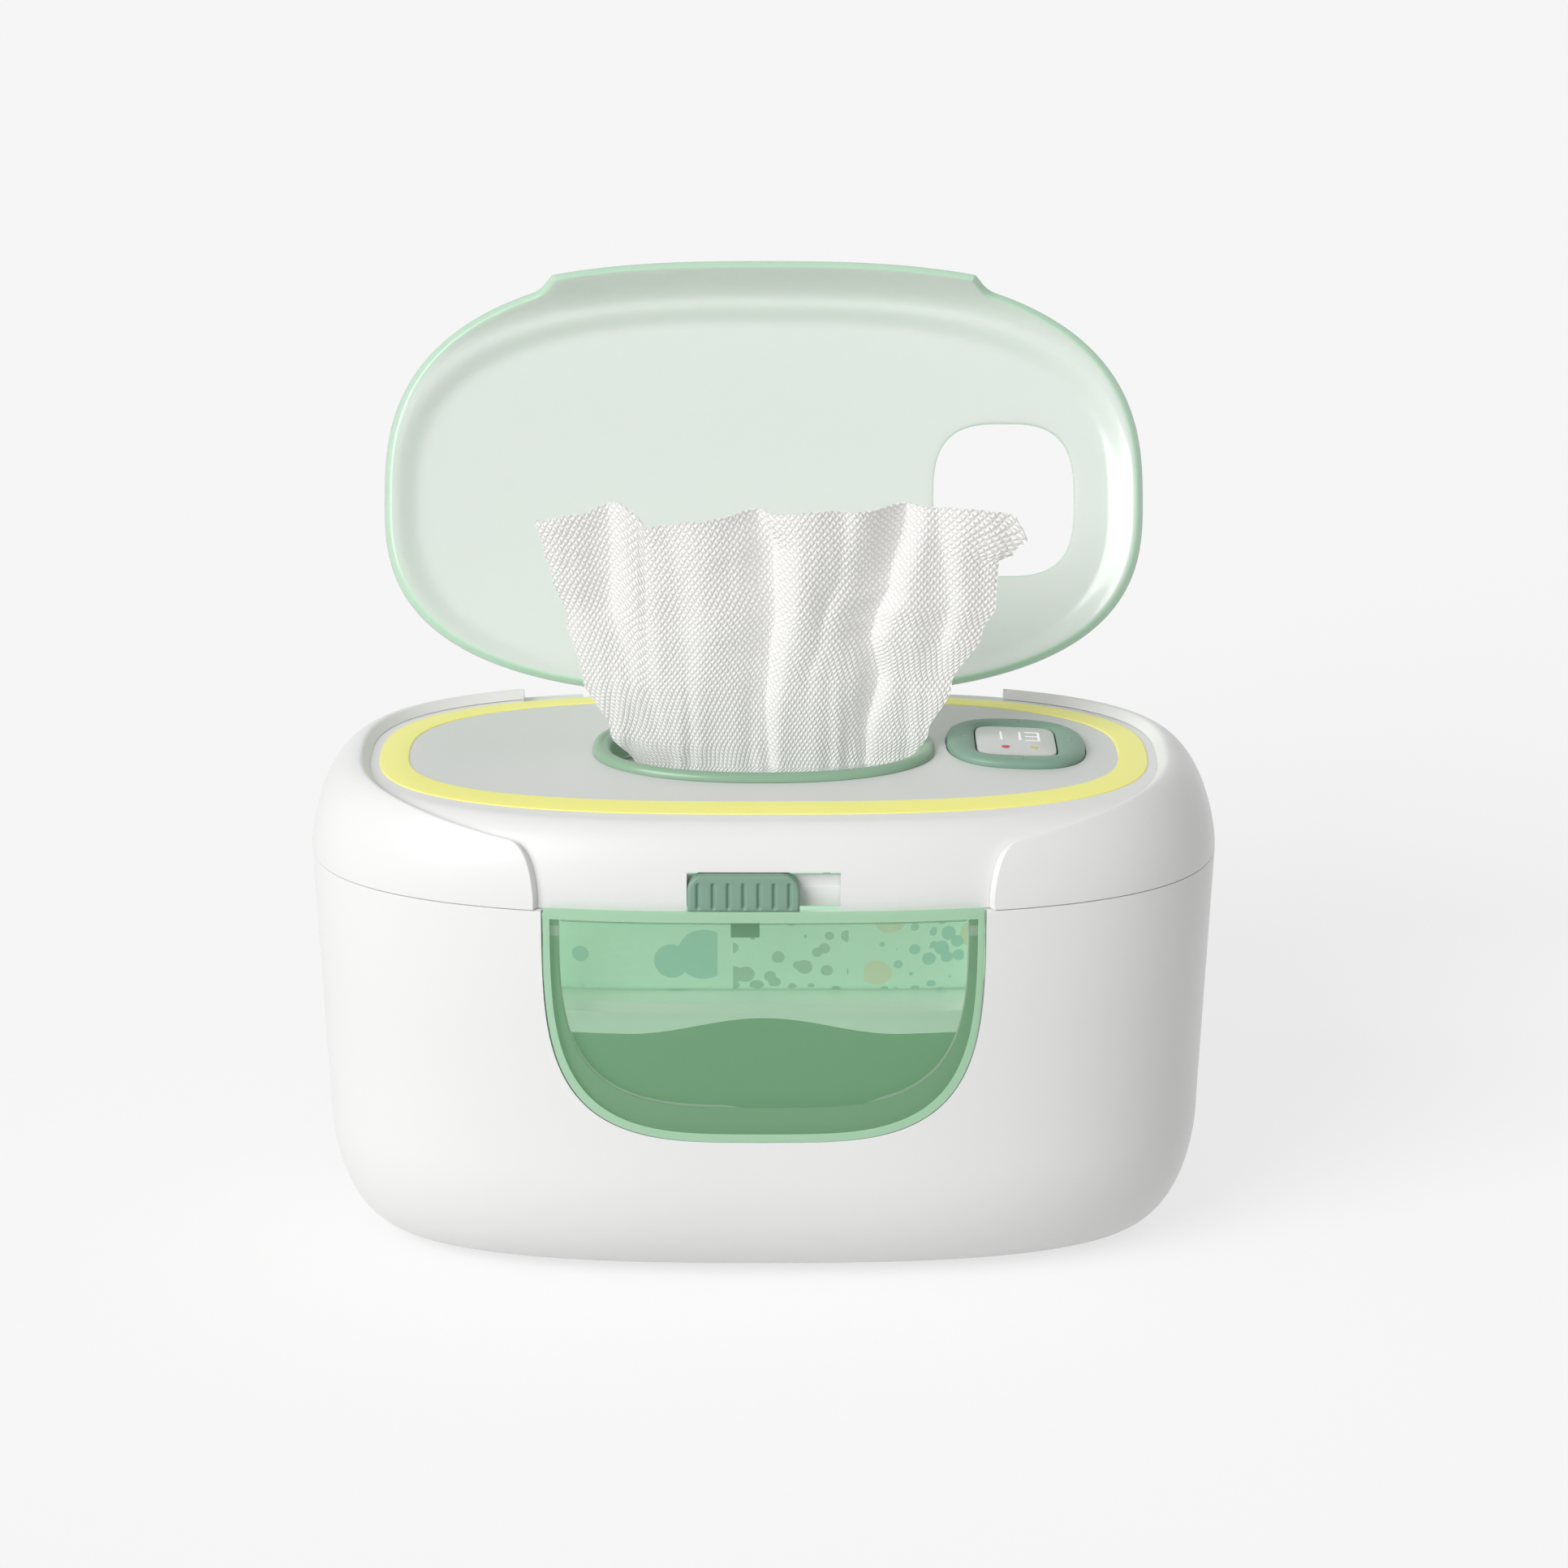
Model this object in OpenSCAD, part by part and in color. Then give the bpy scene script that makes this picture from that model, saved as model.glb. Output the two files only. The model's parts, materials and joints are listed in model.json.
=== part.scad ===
// Baby wipe warmer: a rounded bin with a front window, a hinged top cover and a flip lid
// over the wipe outlet. All sizes are in millimetres. The origin is at the middle of the
// face it rests on, X points to the right, Y to the back and Z up.

/* [Body] */
// Overall width of the body at the seam
body_w = 240; // [180:1:300]
// Overall depth of the body at the seam
body_d = 134; // [104:1:180]
// Height of the seam between body and cover
seam_z = 108; // [96:1:150]
// Squareness of the plan outline, where 2 is an ellipse
plan_n = 2.7; // [2.4:0.1:3.2]
// How much each side leans in from the seam to the lower bend
draft = 3; // [1:0.5:5]
// Height of the lower bend
bend_h = 36; // [20:1:40]
// How far the lower bend comes in at each end
bend_x = 19; // [10:1:24]
// How far the lower bend comes in at front and back
bend_y = 25; // [10:1:28]
// Wall of the body
wall = 3; // [2.4:0.2:3.6]
// Height of the rubber feet under the body
foot_h = 1.5; // [1:0.5:3]

/* [Cover] */
// Gap of the seam line
seam_gap = 0.3; // [0.2:0.1:0.6]
// Height of the cover's bend above the seam
cap_h = 24.2; // [20:0.2:30]
// How far the cover's bend comes in at each end
cap_x = 13.5; // [10:0.5:16]
// How far the cover's bend comes in at front and back
cap_y = 9.2; // [8:0.2:12]
// Height of the crown in the middle of the deck
crown = 3.4; // [2:0.2:4]
// Thickness of the outer frame of the cover
frame_t = 2.2; // [1.8:0.1:2.6]
// Thickness of the deck panel
deck_t = 2.2; // [1.8:0.1:2.6]
// Gap between two shells that nest
nest_gap = 0.1; // [0.05:0.05:0.2]
// Width of the cover's rim at each end of the lid recess
rim_x = 13.5; // [12:0.5:18]
// Width of that rim at the front
rim_front = 2; // [1.5:0.5:3]
// Width of that rim at the back
rim_back = 9; // [8.5:0.5:12]
// Gap between the tongue's side and the window's side
tongue_gap = 0.3; // [0:0.1:1]
// Radius where the tongue meets the rim
tongue_r = 8; // [2:0.5:10]

/* [Flip lid] */
// Thickness of the lid
lid_t = 2; // [1.6:0.1:2.2]
// Gap all round the lid in its recess
lid_gap = 0.5; // [0.4:0.1:1]
// Gap behind the lid, which it needs to swing up
lid_back_gap = 2.4; // [2:0.1:3]
// Rise of the lid's crown over its border
lid_rise = 2.6; // [2.4:0.1:4]
// Width of the lid's border
lid_border = 9; // [6:0.5:12]
// Gap between the lid's lower end and the slide
tip_gap = 2.1; // [1.5:0.1:4]
// Angle the lid stands open from closed
lid_open = 111; // [95:1:114]
// Half width of the lid's opening over the keys
cut_a = 19.6; // [18:0.1:22]
// Half depth of the lid's opening over the keys
cut_b = 21.4; // [20:0.1:24]
// Middle of that opening in front of the keys' middle
cut_y = -1.5; // [-3:0.5:0]
// Hinge axis of the lid in front of the recess's rear edge
lid_axis_in = 0.4; // [0.2:0.1:1]
// Hinge axis of the lid below the cover's rim height
lid_axis_drop = 6.6; // [6:0.1:7]
// Radius of the lid's hinge barrel
lid_barrel_r = 2.4; // [2.2:0.1:2.5]
// Radius of the lid's hinge pin
lid_pin_r = 1.2; // [1:0.1:1.4]
// Half length of the lid's hinge barrel
lid_barrel_l = 44; // [30:1:46]
// Width of each hinge ear
ear_w = 5; // [4:0.5:6]
// Radial play of a pin that turns in its barrel
pin_play = 0.05; // [0.03:0.01:0.1]

/* [Outlet] */
// Gap between the outlet lip and the key ring
key_gap = 3.3; // [2.5:0.1:6]
// Half depth of the outlet lip
out_b = 27.3; // [24:0.1:30]
// Middle of the outlet in front of the cover's middle
out_y = -4.5; // [-6:0.5:0]
// Width of the lip
lip_w = 3.4; // [3:0.2:5]
// Height of the lip over the deck
lip_h = 2.2; // [1.6:0.1:2.3]
// Depth of the sleeve under the deck
sleeve_h = 5.5; // [4:0.5:5.5]

/* [Light ring] */
// Gap between the light ring and the recess's edge at each end
ring_in_x = 4.7; // [3:0.1:6]
// Gap between the light ring and the recess's rear edge
ring_in_y = 6; // [4.5:0.1:8]
// Width of the light ring
ring_w = 7.7; // [5:0.1:9]
// Depth of the groove for the light ring
ring_t = 0.9; // [0.7:0.1:1.1]

/* [Keys and display] */
// Middle of the key ring in from the cover's right end
key_in = 53; // [51:0.5:56]
// Middle of the key ring to the back
key_y = 1; // [-1:0.5:3]
// Half width of the key ring
key_a = 18.4; // [17:0.1:18.6]
// Half depth of the key ring
key_b = 19.2; // [18:0.1:20]
// Half width of the display
disp_a = 10.6; // [9:0.1:11]
// Half depth of the display
disp_b = 12.4; // [11:0.1:13]
// Height of the key ring over the deck
key_h = 2.3; // [1.8:0.1:2.5]
// How far the key ring goes down
key_travel = 0.8; // [0.5:0.1:0.9]
// Play round the keys and the slide
play = 0.3; // [0.2:0.05:0.4]

/* [Window] */
// Half width of the window at the seam
win_a = 57; // [50:0.5:62]
// Height of the window below the seam
win_h = 63.3; // [50:0.1:68]
// Squareness of the window's lower corners
win_n = 3.7; // [3:0.1:4.4]
// Thickness of the window
win_t = 1.5; // [1.2:0.1:1.6]
// Ledge behind the window at its sides
ledge_x = 4.5; // [3.5:0.5:6]
// Ledge behind the window at its lower edge
ledge_z = 9.5; // [6:0.5:11]
// Thickness of the window's seal
seal_t = 0.4; // [0.3:0.1:0.5]
// Height of the window's top rail
rail_h = 3; // [2:0.5:4]

/* [Slide catch] */
// Width of the slide
slide_w = 28.7; // [24:0.1:32]
// Height of the slide
slide_h = 9.7; // [8:0.1:10.5]
// Travel of the slide to the right
slide_travel = 10.3; // [8:0.1:12]
// How far the slide stands proud of the tongue
slide_proud = 1.6; // [1:0.1:2]
// Number of grip grooves
grooves = 7; // [5:1:9]
// Spacing of the grip grooves
groove_p = 3.9; // [3.4:0.1:4]
// Width of the hook under the slide
hook_w = 7.4; // [6:0.2:9]
// Length of the hook below the seam
hook_l = 7; // [5:0.5:8]

/* [Bin and lift] */
// Gap between the bin's top and the body's outer face at each end
bin_gap_x = 7.4; // [7.2:0.2:9]
// The same gap at the front and the back
bin_gap_y = 7.8; // [7.6:0.2:9]
// Underside of the bin
bin_z = 34; // [30:1:38]
// Wall of the bin
bin_t = 1.7; // [1.4:0.1:2]
// Gap between the pack of wipes and the cover's liner
pack_top_gap = 2.6; // [1.5:0.1:6]
// Thickness of the lifting plate
plate_t = 2.8; // [2:0.2:4]
// Play round the lifting plate
plate_play = 3.5; // [3:0.25:5]
// How far the plate goes down
plate_travel = 12; // [8:1:16]
// Outer radius of a lift spring
spring_r = 7; // [6:0.5:8]
// Thickness of the pack of wipes
pack_h = 42.6; // [30:0.2:43]
// Gap between the pack and the bin's top at each end
pack_gap_x = 18.6; // [14:0.2:30]
// The same gap at the front and the back
pack_gap_y = 11.2; // [9:0.2:20]

/* [Power board] */
// Half width of the board
board_a = 40; // [38:1:44]
// Half depth of the board, where the base screws leave room
board_d = 14; // [12:0.5:15]

/* [Rear hinge and inlet] */
// Radius of the cover's hinge knuckles
knuckle_r = 3.2; // [2.8:0.1:3.6]
// Radius of the cover's hinge pin
cover_pin_r = 1.5; // [1.2:0.1:1.8]
// Gap between the knuckles and the wall
knuckle_gap = 0.6; // [0.5:0.1:1]
// Middle of each hinge from the cover's middle
hinge_x = 38; // [30:1:42]
// Width of a knuckle
knuckle_w = 9; // [7:0.5:11]
// Place of the power inlet across the back
inlet_x = -40; // [-60:1:-20]
// Height of the power inlet
inlet_z = 23; // [20:1:25]
// Radius of the inlet's mouth
inlet_r = 3.2; // [3:0.1:3.5]

/* [Hidden] */
$fn = 48;
seg = 48;
A = body_w / 2;
B = body_d / 2;
rec_a = A - rim_x;
rec_front = B - rim_front;
rec_back = B - rim_back;
tongue_a = win_a + tongue_gap;
lid_tip_z = seam_z + slide_h + tip_gap;
lid_axis_y = rec_back - lid_axis_in;
ring_a = rec_a - ring_in_x;
ring_b = rec_back - ring_in_y;
key_x = A - key_in;
out_a = key_x - key_a - key_gap;
bin_a = A - bin_gap_x;
bin_b = B - bin_gap_y;
pack_a = bin_a - pack_gap_x;
pack_b = bin_b - pack_gap_y;
deck_in = frame_t + nest_gap;
deck_out = deck_in + deck_t;
cap_top = seam_z + cap_h;
lid_axis_z = cap_top - lid_axis_drop;
cover_axis_y = B + knuckle_r + knuckle_gap;
web_y = min(B - frame_t - 0.2, B * pow(1 - pow((hinge_x + knuckle_w) / A, plan_n), 1 / plan_n) - 0.3);
slot_a = (slide_w + slide_travel) / 2 + play / 2;
slide_x = -slot_a + play / 2;
floor_z = foot_h + 2;
liner_z = cap_top - deck_out - 3.3;
plate_z = liner_z - pack_top_gap - pack_h - 0.2;
pack_z = plate_z + 0.2;
big = 400;

// Superellipse point at angle t, with its own half depth in front and behind
function sgn_pow(v, e) = sign(v) * pow(abs(v), e);
function se(a, bf, bb, n, t) =
    [a * sgn_pow(cos(t), 2 / n), (sin(t) < 0 ? bf : bb) * sgn_pow(sin(t), 2 / n)];
function outline(a, bf, bb, n, k = seg) = [for (i = [0:k - 1]) se(a, bf, bb, n, 360 * i / k)];
function flat_ring(a, b, z, n = plan_n) = [for (p = outline(a, b, b, n)) [p[0], p[1], z]];

// Relative distance from the middle of the deck, 0 in the middle and 1 at the rim
function deck_s(x, y, d) =
    pow(pow(abs(x) / (A - d - cap_x), plan_n) + pow(abs(y) / (B - d - cap_y), plan_n), 1 / plan_n);
function cap_z(x, y, d) = cap_top - d + crown * (1 - pow(min(1, deck_s(x, y, d)), 2));

// Rings of the cover's shell at depth d under its outer face, from the seam to the middle
function bend_ring(d, th) =
    flat_ring(A - d - cap_x * (1 - pow(cos(th), 1.11)), B - d - cap_y * (1 - pow(cos(th), 1.11)),
        max(seam_z + seam_gap, seam_z + (cap_h - d) * pow(sin(th), 1.11)));
function top_ring(d, s) =
    flat_ring((A - d - cap_x) * s, (B - d - cap_y) * s, cap_top - d + crown * (1 - s * s));
function cap_rings(d) = concat([for (th = [0, 16, 30, 43, 56, 68, 79]) bend_ring(d, th)],
    [for (s = [1, 0.8, 0.55, 0.25]) top_ring(d, s)]);
function reversed(v) = [for (i = [len(v) - 1:-1:0]) v[i]];

// Skin through a list of rings with as many points each, closed by a face at each end
module loft(rings) {
    m = len(rings);
    k = len(rings[0]);
    polyhedron(
        points = [for (r = rings) for (p = r) p],
        faces = concat(
            [[for (i = [0:k - 1]) i]],
            [for (j = [0:m - 2]) for (i = [0:k - 1])
                [j * k + i, (j + 1) * k + i, (j + 1) * k + (i + 1) % k]],
            [for (j = [0:m - 2]) for (i = [0:k - 1])
                [j * k + i, (j + 1) * k + (i + 1) % k, j * k + (i + 1) % k]],
            [[for (i = [k - 1:-1:0]) (m - 1) * k + i]]),
        convexity = 6);
}

// Skin through a list of rings whose last ring joins the first
module loop_loft(rings) {
    m = len(rings);
    k = len(rings[0]);
    polyhedron(
        points = [for (r = rings) for (p = r) p],
        faces = concat(
            [for (j = [0:m - 1]) for (i = [0:k - 1])
                [j * k + i, ((j + 1) % m) * k + i, ((j + 1) % m) * k + (i + 1) % k]],
            [for (j = [0:m - 1]) for (i = [0:k - 1])
                [j * k + i, ((j + 1) % m) * k + (i + 1) % k, j * k + (i + 1) % k]]),
        convexity = 6);
}

module cap_layer(d0, d1) loft(concat(reversed(cap_rings(d1)), cap_rings(d0)));

// Plan of the lid recess, drawn in by g
module recess_plan(g = 0, back = 0) {
    offset(r = -tongue_r) offset(delta = tongue_r) {
        polygon(outline(rec_a - g, rec_front - g, rec_back - back, plan_n));
        translate([g - tongue_a, -B - 20]) square([2 * (tongue_a - g), B + 20]);
    }
}

module plan_prism(z0, z1) translate([0, 0, z0]) linear_extrude(z1 - z0) children();

module plate_shape(a, b, z0, z1, n = plan_n) plan_prism(z0, z1) polygon(outline(a, b, b, n));

// Window outline in the front view, drawn in by gx at the sides and gz below
function win_half(z, gx, gz) =
    (win_a - gx) * pow(max(0, 1 - pow((seam_z - z) / (win_h - gz), win_n)), 1 / win_n);
module win_plan(gx, gz) {
    pts = [for (q = [0:4:90]) [(win_a - gx) * pow(cos(q), 2 / win_n),
        seam_z - (win_h - gz) * pow(sin(q), 2 / win_n)]];
    polygon(concat([[win_a - gx, seam_z + 1]], pts,
        [for (p = reversed(pts)) [-p[0], p[1]]], [[gx - win_a, seam_z + 1]]));
}
module front_prism() rotate([90, 0, 0]) linear_extrude(B + 20) children();
module x_rod(x0, x1, y, z, r) translate([x0, y, z]) rotate([0, 90, 0]) cylinder(h = x1 - x0, r = r);

// Rings of the body at depth d under its outer face, from the lower bend to the seam
function body_ring(d, th) =
    flat_ring(A - d - draft - bend_x * (1 - sin(th)), B - d - draft - bend_y * (1 - sin(th)),
        max(foot_h + bend_h * (1 - cos(th)), d > 0 ? floor_z + 2 : 0));
function body_rings(d) = concat([for (th = [0, 18, 36, 54, 72, 90]) body_ring(d, th)],
    [flat_ring(A - d, B - d, seam_z)]);

plug_a = A - draft - bend_x - 7;
plug_b = B - draft - bend_y - 7;
board_b = min(board_d, plug_b - 9.5);
screw_at = [[plug_a - 6.5, 0], [6.5 - plug_a, 0], [0, plug_b - 5.5], [0, 5.5 - plug_b]];

module body_layer(d0, d1) {
    loop_loft(concat(body_rings(d0), reversed(body_rings(d1)),
        [flat_ring(plug_a - 11, plug_b - 10, floor_z + 2),
        flat_ring(plug_a - 11, plug_b - 10, floor_z),
        flat_ring(plug_a, plug_b, floor_z), flat_ring(plug_a, plug_b, foot_h)]));
}
// Upper part of the body's wall between two depths, where the window lies
function wall_rings(d) = [body_ring(d, 90), flat_ring(A - d, B - d, seam_z)];
module wall_layer(d0, d1) loop_loft(concat(wall_rings(d0), reversed(wall_rings(d1))));

module body_shell() {
    color([0.94, 0.94, 0.93]) difference() {
        union() {
            body_layer(0, wall);
            // Ledge that carries the bin's rim
            plan_prism(bin_rim_z - 3, bin_rim_z - 0.2) difference() {
                polygon(outline(A - wall + 0.5, B - wall + 0.5, B - wall + 0.5, plan_n));
                polygon(outline(bin_a + 1.2, bin_b + 1.2, bin_b + 1.2, plan_n));
            }
            for (p = screw_at) translate([p[0], p[1], floor_z]) cylinder(h = 8, r = 3.4);
            // Hinge knuckles of the body
            for (s = [-1, 1]) for (q = [-1, 1])
                cover_knuckle(s * hinge_x + q * (knuckle_w + 0.3), -1);
        }
        front_prism() win_plan(ledge_x, ledge_z);
        intersection() {
            wall_layer(-1, win_t + seal_t);
            front_prism() win_plan(0, 0);
        }
        for (p = screw_at) translate([p[0], p[1], foot_h]) cylinder(h = 9, r = 1.3);
        for (s = [-1, 1])
            x_rod(s * hinge_x - 15, s * hinge_x + 15, cover_axis_y, seam_z, cover_pin_r);
        translate([inlet_x, B - 25, inlet_z]) rotate([-90, 0, 0]) cylinder(h = 40, r = 5.2);
        // Room for the socket's collar inside the wall
        translate([inlet_x - 5.6, inlet_face - 20, inlet_z - 5.4]) cube([11.2, 12.1, 10.8]);
    }
}

// One knuckle with its web; side 1 joins the cover above the seam, side -1 the body below
module cover_knuckle(x, side) {
    translate([x - knuckle_w / 2, 0, 0]) {
        x_rod(0, knuckle_w, cover_axis_y, seam_z, knuckle_r);
        z0 = side > 0 ? seam_z + seam_gap : seam_z - knuckle_r;
        translate([0, web_y, z0]) cube([knuckle_w, cover_axis_y - web_y, knuckle_r - seam_gap]);
    }
}

module cover_hinge_pins() {
    color([0.72, 0.73, 0.75]) for (s = [-1, 1])
        x_rod(s * hinge_x - 14.5, s * hinge_x + 14.5, cover_axis_y, seam_z, cover_pin_r);
}

module base_plate() {
    color([0.86, 0.87, 0.85]) difference() {
        union() {
            plate_shape(plug_a - 0.4, plug_b - 0.4, foot_h, floor_z);
            for (x = [-post_x, post_x]) for (y = [-post_y, post_y])
                translate([x, y, floor_z]) cylinder(h = pad_z - floor_z, r = post_r);
            for (x = [6 - board_a, board_a - 6]) for (y = [4 - board_b, board_b - 4])
                translate([x, y, floor_z]) cylinder(h = 5, r = 2.5);
        }
        for (p = screw_at) translate([p[0], p[1], foot_h]) {
            cylinder(h = 4, r = 1.4);
            cylinder(h = 1.2, r = 2.8);
        }
        for (p = foot_at) translate([p[0], p[1], foot_h - 1]) cylinder(h = 1.7, r = foot_r + 0.2);
    }
}
foot_r = 7.5;
foot_at = concat([[0, 0]], [for (x = [-1, 1]) for (y = [-1, 1])
    [x * (plug_a - 29), y * max(plug_b - 15.5, foot_r + 0.5)]]);
// Posts under the heater, beside the board and inside the opening of the body's floor
post_r = 3.5;
post_x = min(board_a + 18, plug_a - 11 - post_r - 6);
post_y = min(9, plug_b - 10 - post_r - 6);
module foot_pads() {
    color([0.28, 0.3, 0.29]) for (p = foot_at) translate([p[0], p[1], 0])
        cylinder(h = foot_h + 0.7, r = foot_r);
}
module base_screws() {
    color([0.75, 0.76, 0.78]) for (p = screw_at) translate([p[0], p[1], foot_h + 0.1]) {
        cylinder(h = 1.1, r = 2.6);
        cylinder(h = 8, r = 1.2);
    }
}

module front_window() {
    color([0.45, 0.6, 0.49, 0.55]) union() {
        intersection() {
            wall_layer(0, win_t);
            front_prism() win_plan(play, play);
        }
        // Top rail behind the window's upper edge
        intersection() {
            wall_layer(win_t - 0.05, win_t + 1);
            front_prism() win_plan(ledge_x + play, ledge_z);
            translate([-A, -B - 5, seam_z - rail_h]) cube([2 * A, B, rail_h]);
        }
    }
}
module window_gasket() {
    color([0.3, 0.36, 0.32]) intersection() {
        wall_layer(win_t + 0.05, win_t + seal_t - 0.05);
        front_prism() difference() {
            win_plan(play + 0.3, play + 0.3);
            win_plan(ledge_x - 0.3, ledge_z - 0.3);
        }
    }
}

// Guard with a wavy upper edge in front of the bin
guard_a = win_a - ledge_x - 1;
guard_z = plate_z - plate_t - 4;
guard_d = wall + 1.6;
guard_peg_z = seam_z - win_h + 8;
// Depth of the guard's and the bin's faces at a place of the guard
guard_in = (B - draft * (seam_z - guard_peg_z) / (seam_z - foot_h - bend_h) - guard_d - 1.2)
    * pow(1 - pow(40 / (A - guard_d - 3.5), plan_n), 1 / plan_n);
function bin_y(x, z) = (bin_b - 3.2 * (bin_rim_z - z) / (bin_rim_z - bin_z - 18))
    * pow(1 - pow(abs(x) / (bin_a - 3), plan_n), 1 / plan_n);
module front_guard() {
    color([0.36, 0.47, 0.38]) union() {
        intersection() {
            wall_layer(guard_d, guard_d + 1.2);
            front_prism() polygon(concat([[-guard_a, seam_z - win_h + 5],
                [guard_a, seam_z - win_h + 5], [guard_a, guard_z]],
                [for (x = [36:-6:-36]) [x, guard_z + 2.4 * (1 + cos(180 * x / 36))]],
                [[-guard_a, guard_z]]));
        }
        // Pegs that stand against the bin
        for (s = [-1, 1]) translate([s * 40, -guard_in - 0.4, guard_peg_z]) rotate([-90, 0, 0])
            cylinder(h = guard_in + 0.1 - bin_y(38, guard_peg_z), r = 2);
    }
}

bin_rim_z = seam_z - 4;
bin_rim_top = seam_z - 1.5;
function bin_ring(da, db, z) = flat_ring(bin_a - da, bin_b - db, z);
bin_floor = bin_z + 2;
// The bin opens above the guard's pegs
bin_open_z = guard_peg_z + 11.3;
module inner_bin() {
    color([0.87, 0.9, 0.87]) difference() {
        union() {
            loft([
                bin_ring(14.6, 14.2, bin_z), bin_ring(9.6, 9.2, bin_z + 2),
                bin_ring(6.1, 5.7, bin_z + 7), bin_ring(3.6, 3.2, bin_z + 18),
                bin_ring(0, 0, bin_rim_z), bin_ring(-2.9, -2.8, bin_rim_z),
                bin_ring(-2.9, -2.8, bin_rim_top), bin_ring(bin_t, bin_t, bin_rim_top),
                bin_ring(3.6 + bin_t, 3.2 + bin_t, bin_z + 18),
                bin_ring(6.1 + bin_t, 5.7 + bin_t, bin_z + 7.6),
                bin_ring(9.8 + bin_t, 9.4 + bin_t, bin_floor + 1.6),
                bin_ring(15 + bin_t, 14.6 + bin_t, bin_floor)]);
            for (p = spring_at) translate([p[0], p[1], bin_floor - 0.5])
                cylinder(h = 14, r = spring_r - 2.4);
            // Lugs that stop the lifting plate
            for (s = [-1, 1]) translate([s * (lug_a + 2.6) - 2.6, -6, plate_z + 0.5])
                cube([5.2, 12, 3]);
        }
        // Opening behind the window
        translate([-(win_a - ledge_x), -B, bin_open_z]) cube([2 * (win_a - ledge_x), B / 2,
            bin_rim_z - bin_open_z]);
    }
}
lug_a = bin_a - bin_t - 6.6;
// The springs stand inside the bin's floor, which rounds off at its corners
spring_x = pack_a - 24;
spring_y = min(pack_b - 22, (bin_b - 14.6 - bin_t)
    * pow(1 - pow((spring_x + 0.7 * spring_r) / (bin_a - 15 - bin_t), plan_n), 1 / plan_n)
    - 0.7 * spring_r - 0.8);
spring_at = [for (x = [-1, 1]) for (y = [-1, 1]) [x * spring_x, y * spring_y]];
module lift_springs() {
    color([0.74, 0.75, 0.77]) for (p = spring_at) translate([p[0], p[1], bin_floor + 0.1])
        difference() {
            cylinder(h = plate_z - plate_t - bin_floor - 0.2, r = spring_r);
            translate([0, 0, -1]) cylinder(h = 100, r = spring_r - 1.6);
        }
}
plate_a = bin_a - bin_t - 1.4 - plate_play;
plate_b = bin_b - bin_t - 1.4 - plate_play + 0.6;
module lift_plate() {
    color([0.9, 0.92, 0.89]) plate_shape(plate_a, plate_b, plate_z - plate_t, plate_z);
}

// Pack of wipes with a rounded, pillow-like edge
module wipe_pack() {
    color([0.62, 0.78, 0.65]) loft([for (q = [[7, 0], [2.4, 2.2], [0.6, 7], [0, 15], [0, 27],
        [0.8, 35], [2.8, 40], [8, 42], [26, 42.6]])
        [for (p = outline(pack_a - q[0], pack_b - q[0] * 0.8, pack_b - q[0] * 0.8, 4))
            [p[0], p[1], pack_z + q[1] * pack_h / 42.6]]]);
}

pad_z = bin_z - 8;
module insulation_pad() {
    color([0.9, 0.88, 0.8]) difference() {
        plate_shape(plug_a - 1, plug_b + 6, pad_z + 0.1, pad_z + 5.8);
        translate([-9, -6, pad_z + 1.8]) cube([18, 12, 8]);
    }
}
module heater_film() {
    color([0.78, 0.5, 0.22]) plate_shape(plug_a - 7, plug_b, pad_z + 5.9, pad_z + 6.4);
}
module heat_spreader() {
    color([0.78, 0.79, 0.8]) plate_shape(plug_a - 3, plug_b + 4, pad_z + 6.5, pad_z + 7.8);
}
module thermal_cutoff() {
    color([0.75, 0.73, 0.68]) translate([-8, -5, pad_z + 2]) cube([16, 10, 3.8]);
}
module power_board() {
    color([0.12, 0.4, 0.22]) translate([-board_a, -board_b, floor_z + 5.1])
        cube([2 * board_a, 2 * board_b, 1.6]);
}
module board_parts() {
    color([0.2, 0.2, 0.22]) translate([0, 0, floor_z + 6.8]) {
        translate([-30, 0, 0]) cylinder(h = 11, r = 5);
        translate([-18, -8, 0]) cube([12, 10, 4]);
        translate([4, -9, 0]) cube([16, 16, 9]);
        translate([26, -5, 0]) cube([9, 12, 6]);
    }
}
inlet_face = B - 5.2;
module dc_socket() {
    color([0.13, 0.13, 0.14]) {
        difference() {
            union() {
                translate([inlet_x, inlet_face - 12, inlet_z]) rotate([-90, 0, 0])
                    cylinder(h = 12, r = 5);
                translate([inlet_x - 5.5, inlet_face - 13, inlet_z - 5.3]) cube([11, 5, 10.6]);
            }
            translate([inlet_x, inlet_face - 9.5, inlet_z]) rotate([-90, 0, 0])
                cylinder(h = 20, r = inlet_r);
        }
        translate([inlet_x, inlet_face - 10, inlet_z]) rotate([-90, 0, 0])
            cylinder(h = 8, r = 0.9);
    }
}

// White outer frame of the cover
module top_shell() {
    color([0.94, 0.94, 0.93]) difference() {
        union() {
            cap_layer(0, frame_t);
            // Knuckles of the rear hinge
            for (s = [-1, 1]) cover_knuckle(s * hinge_x, 1);
        }
        // The recess is a hair wide of the bend's top, so that their corners don't meet
        plan_prism(seam_z - 1, cap_top + 10) recess_plan(-0.002, -0.002);
        // Room for the lid's hinge and its ears
        hinge_room();
        for (s = [-1, 1]) x_rod(s * hinge_x - 10, s * hinge_x + 10, cover_axis_y, seam_z,
            cover_pin_r + pin_play);
    }
}

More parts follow.
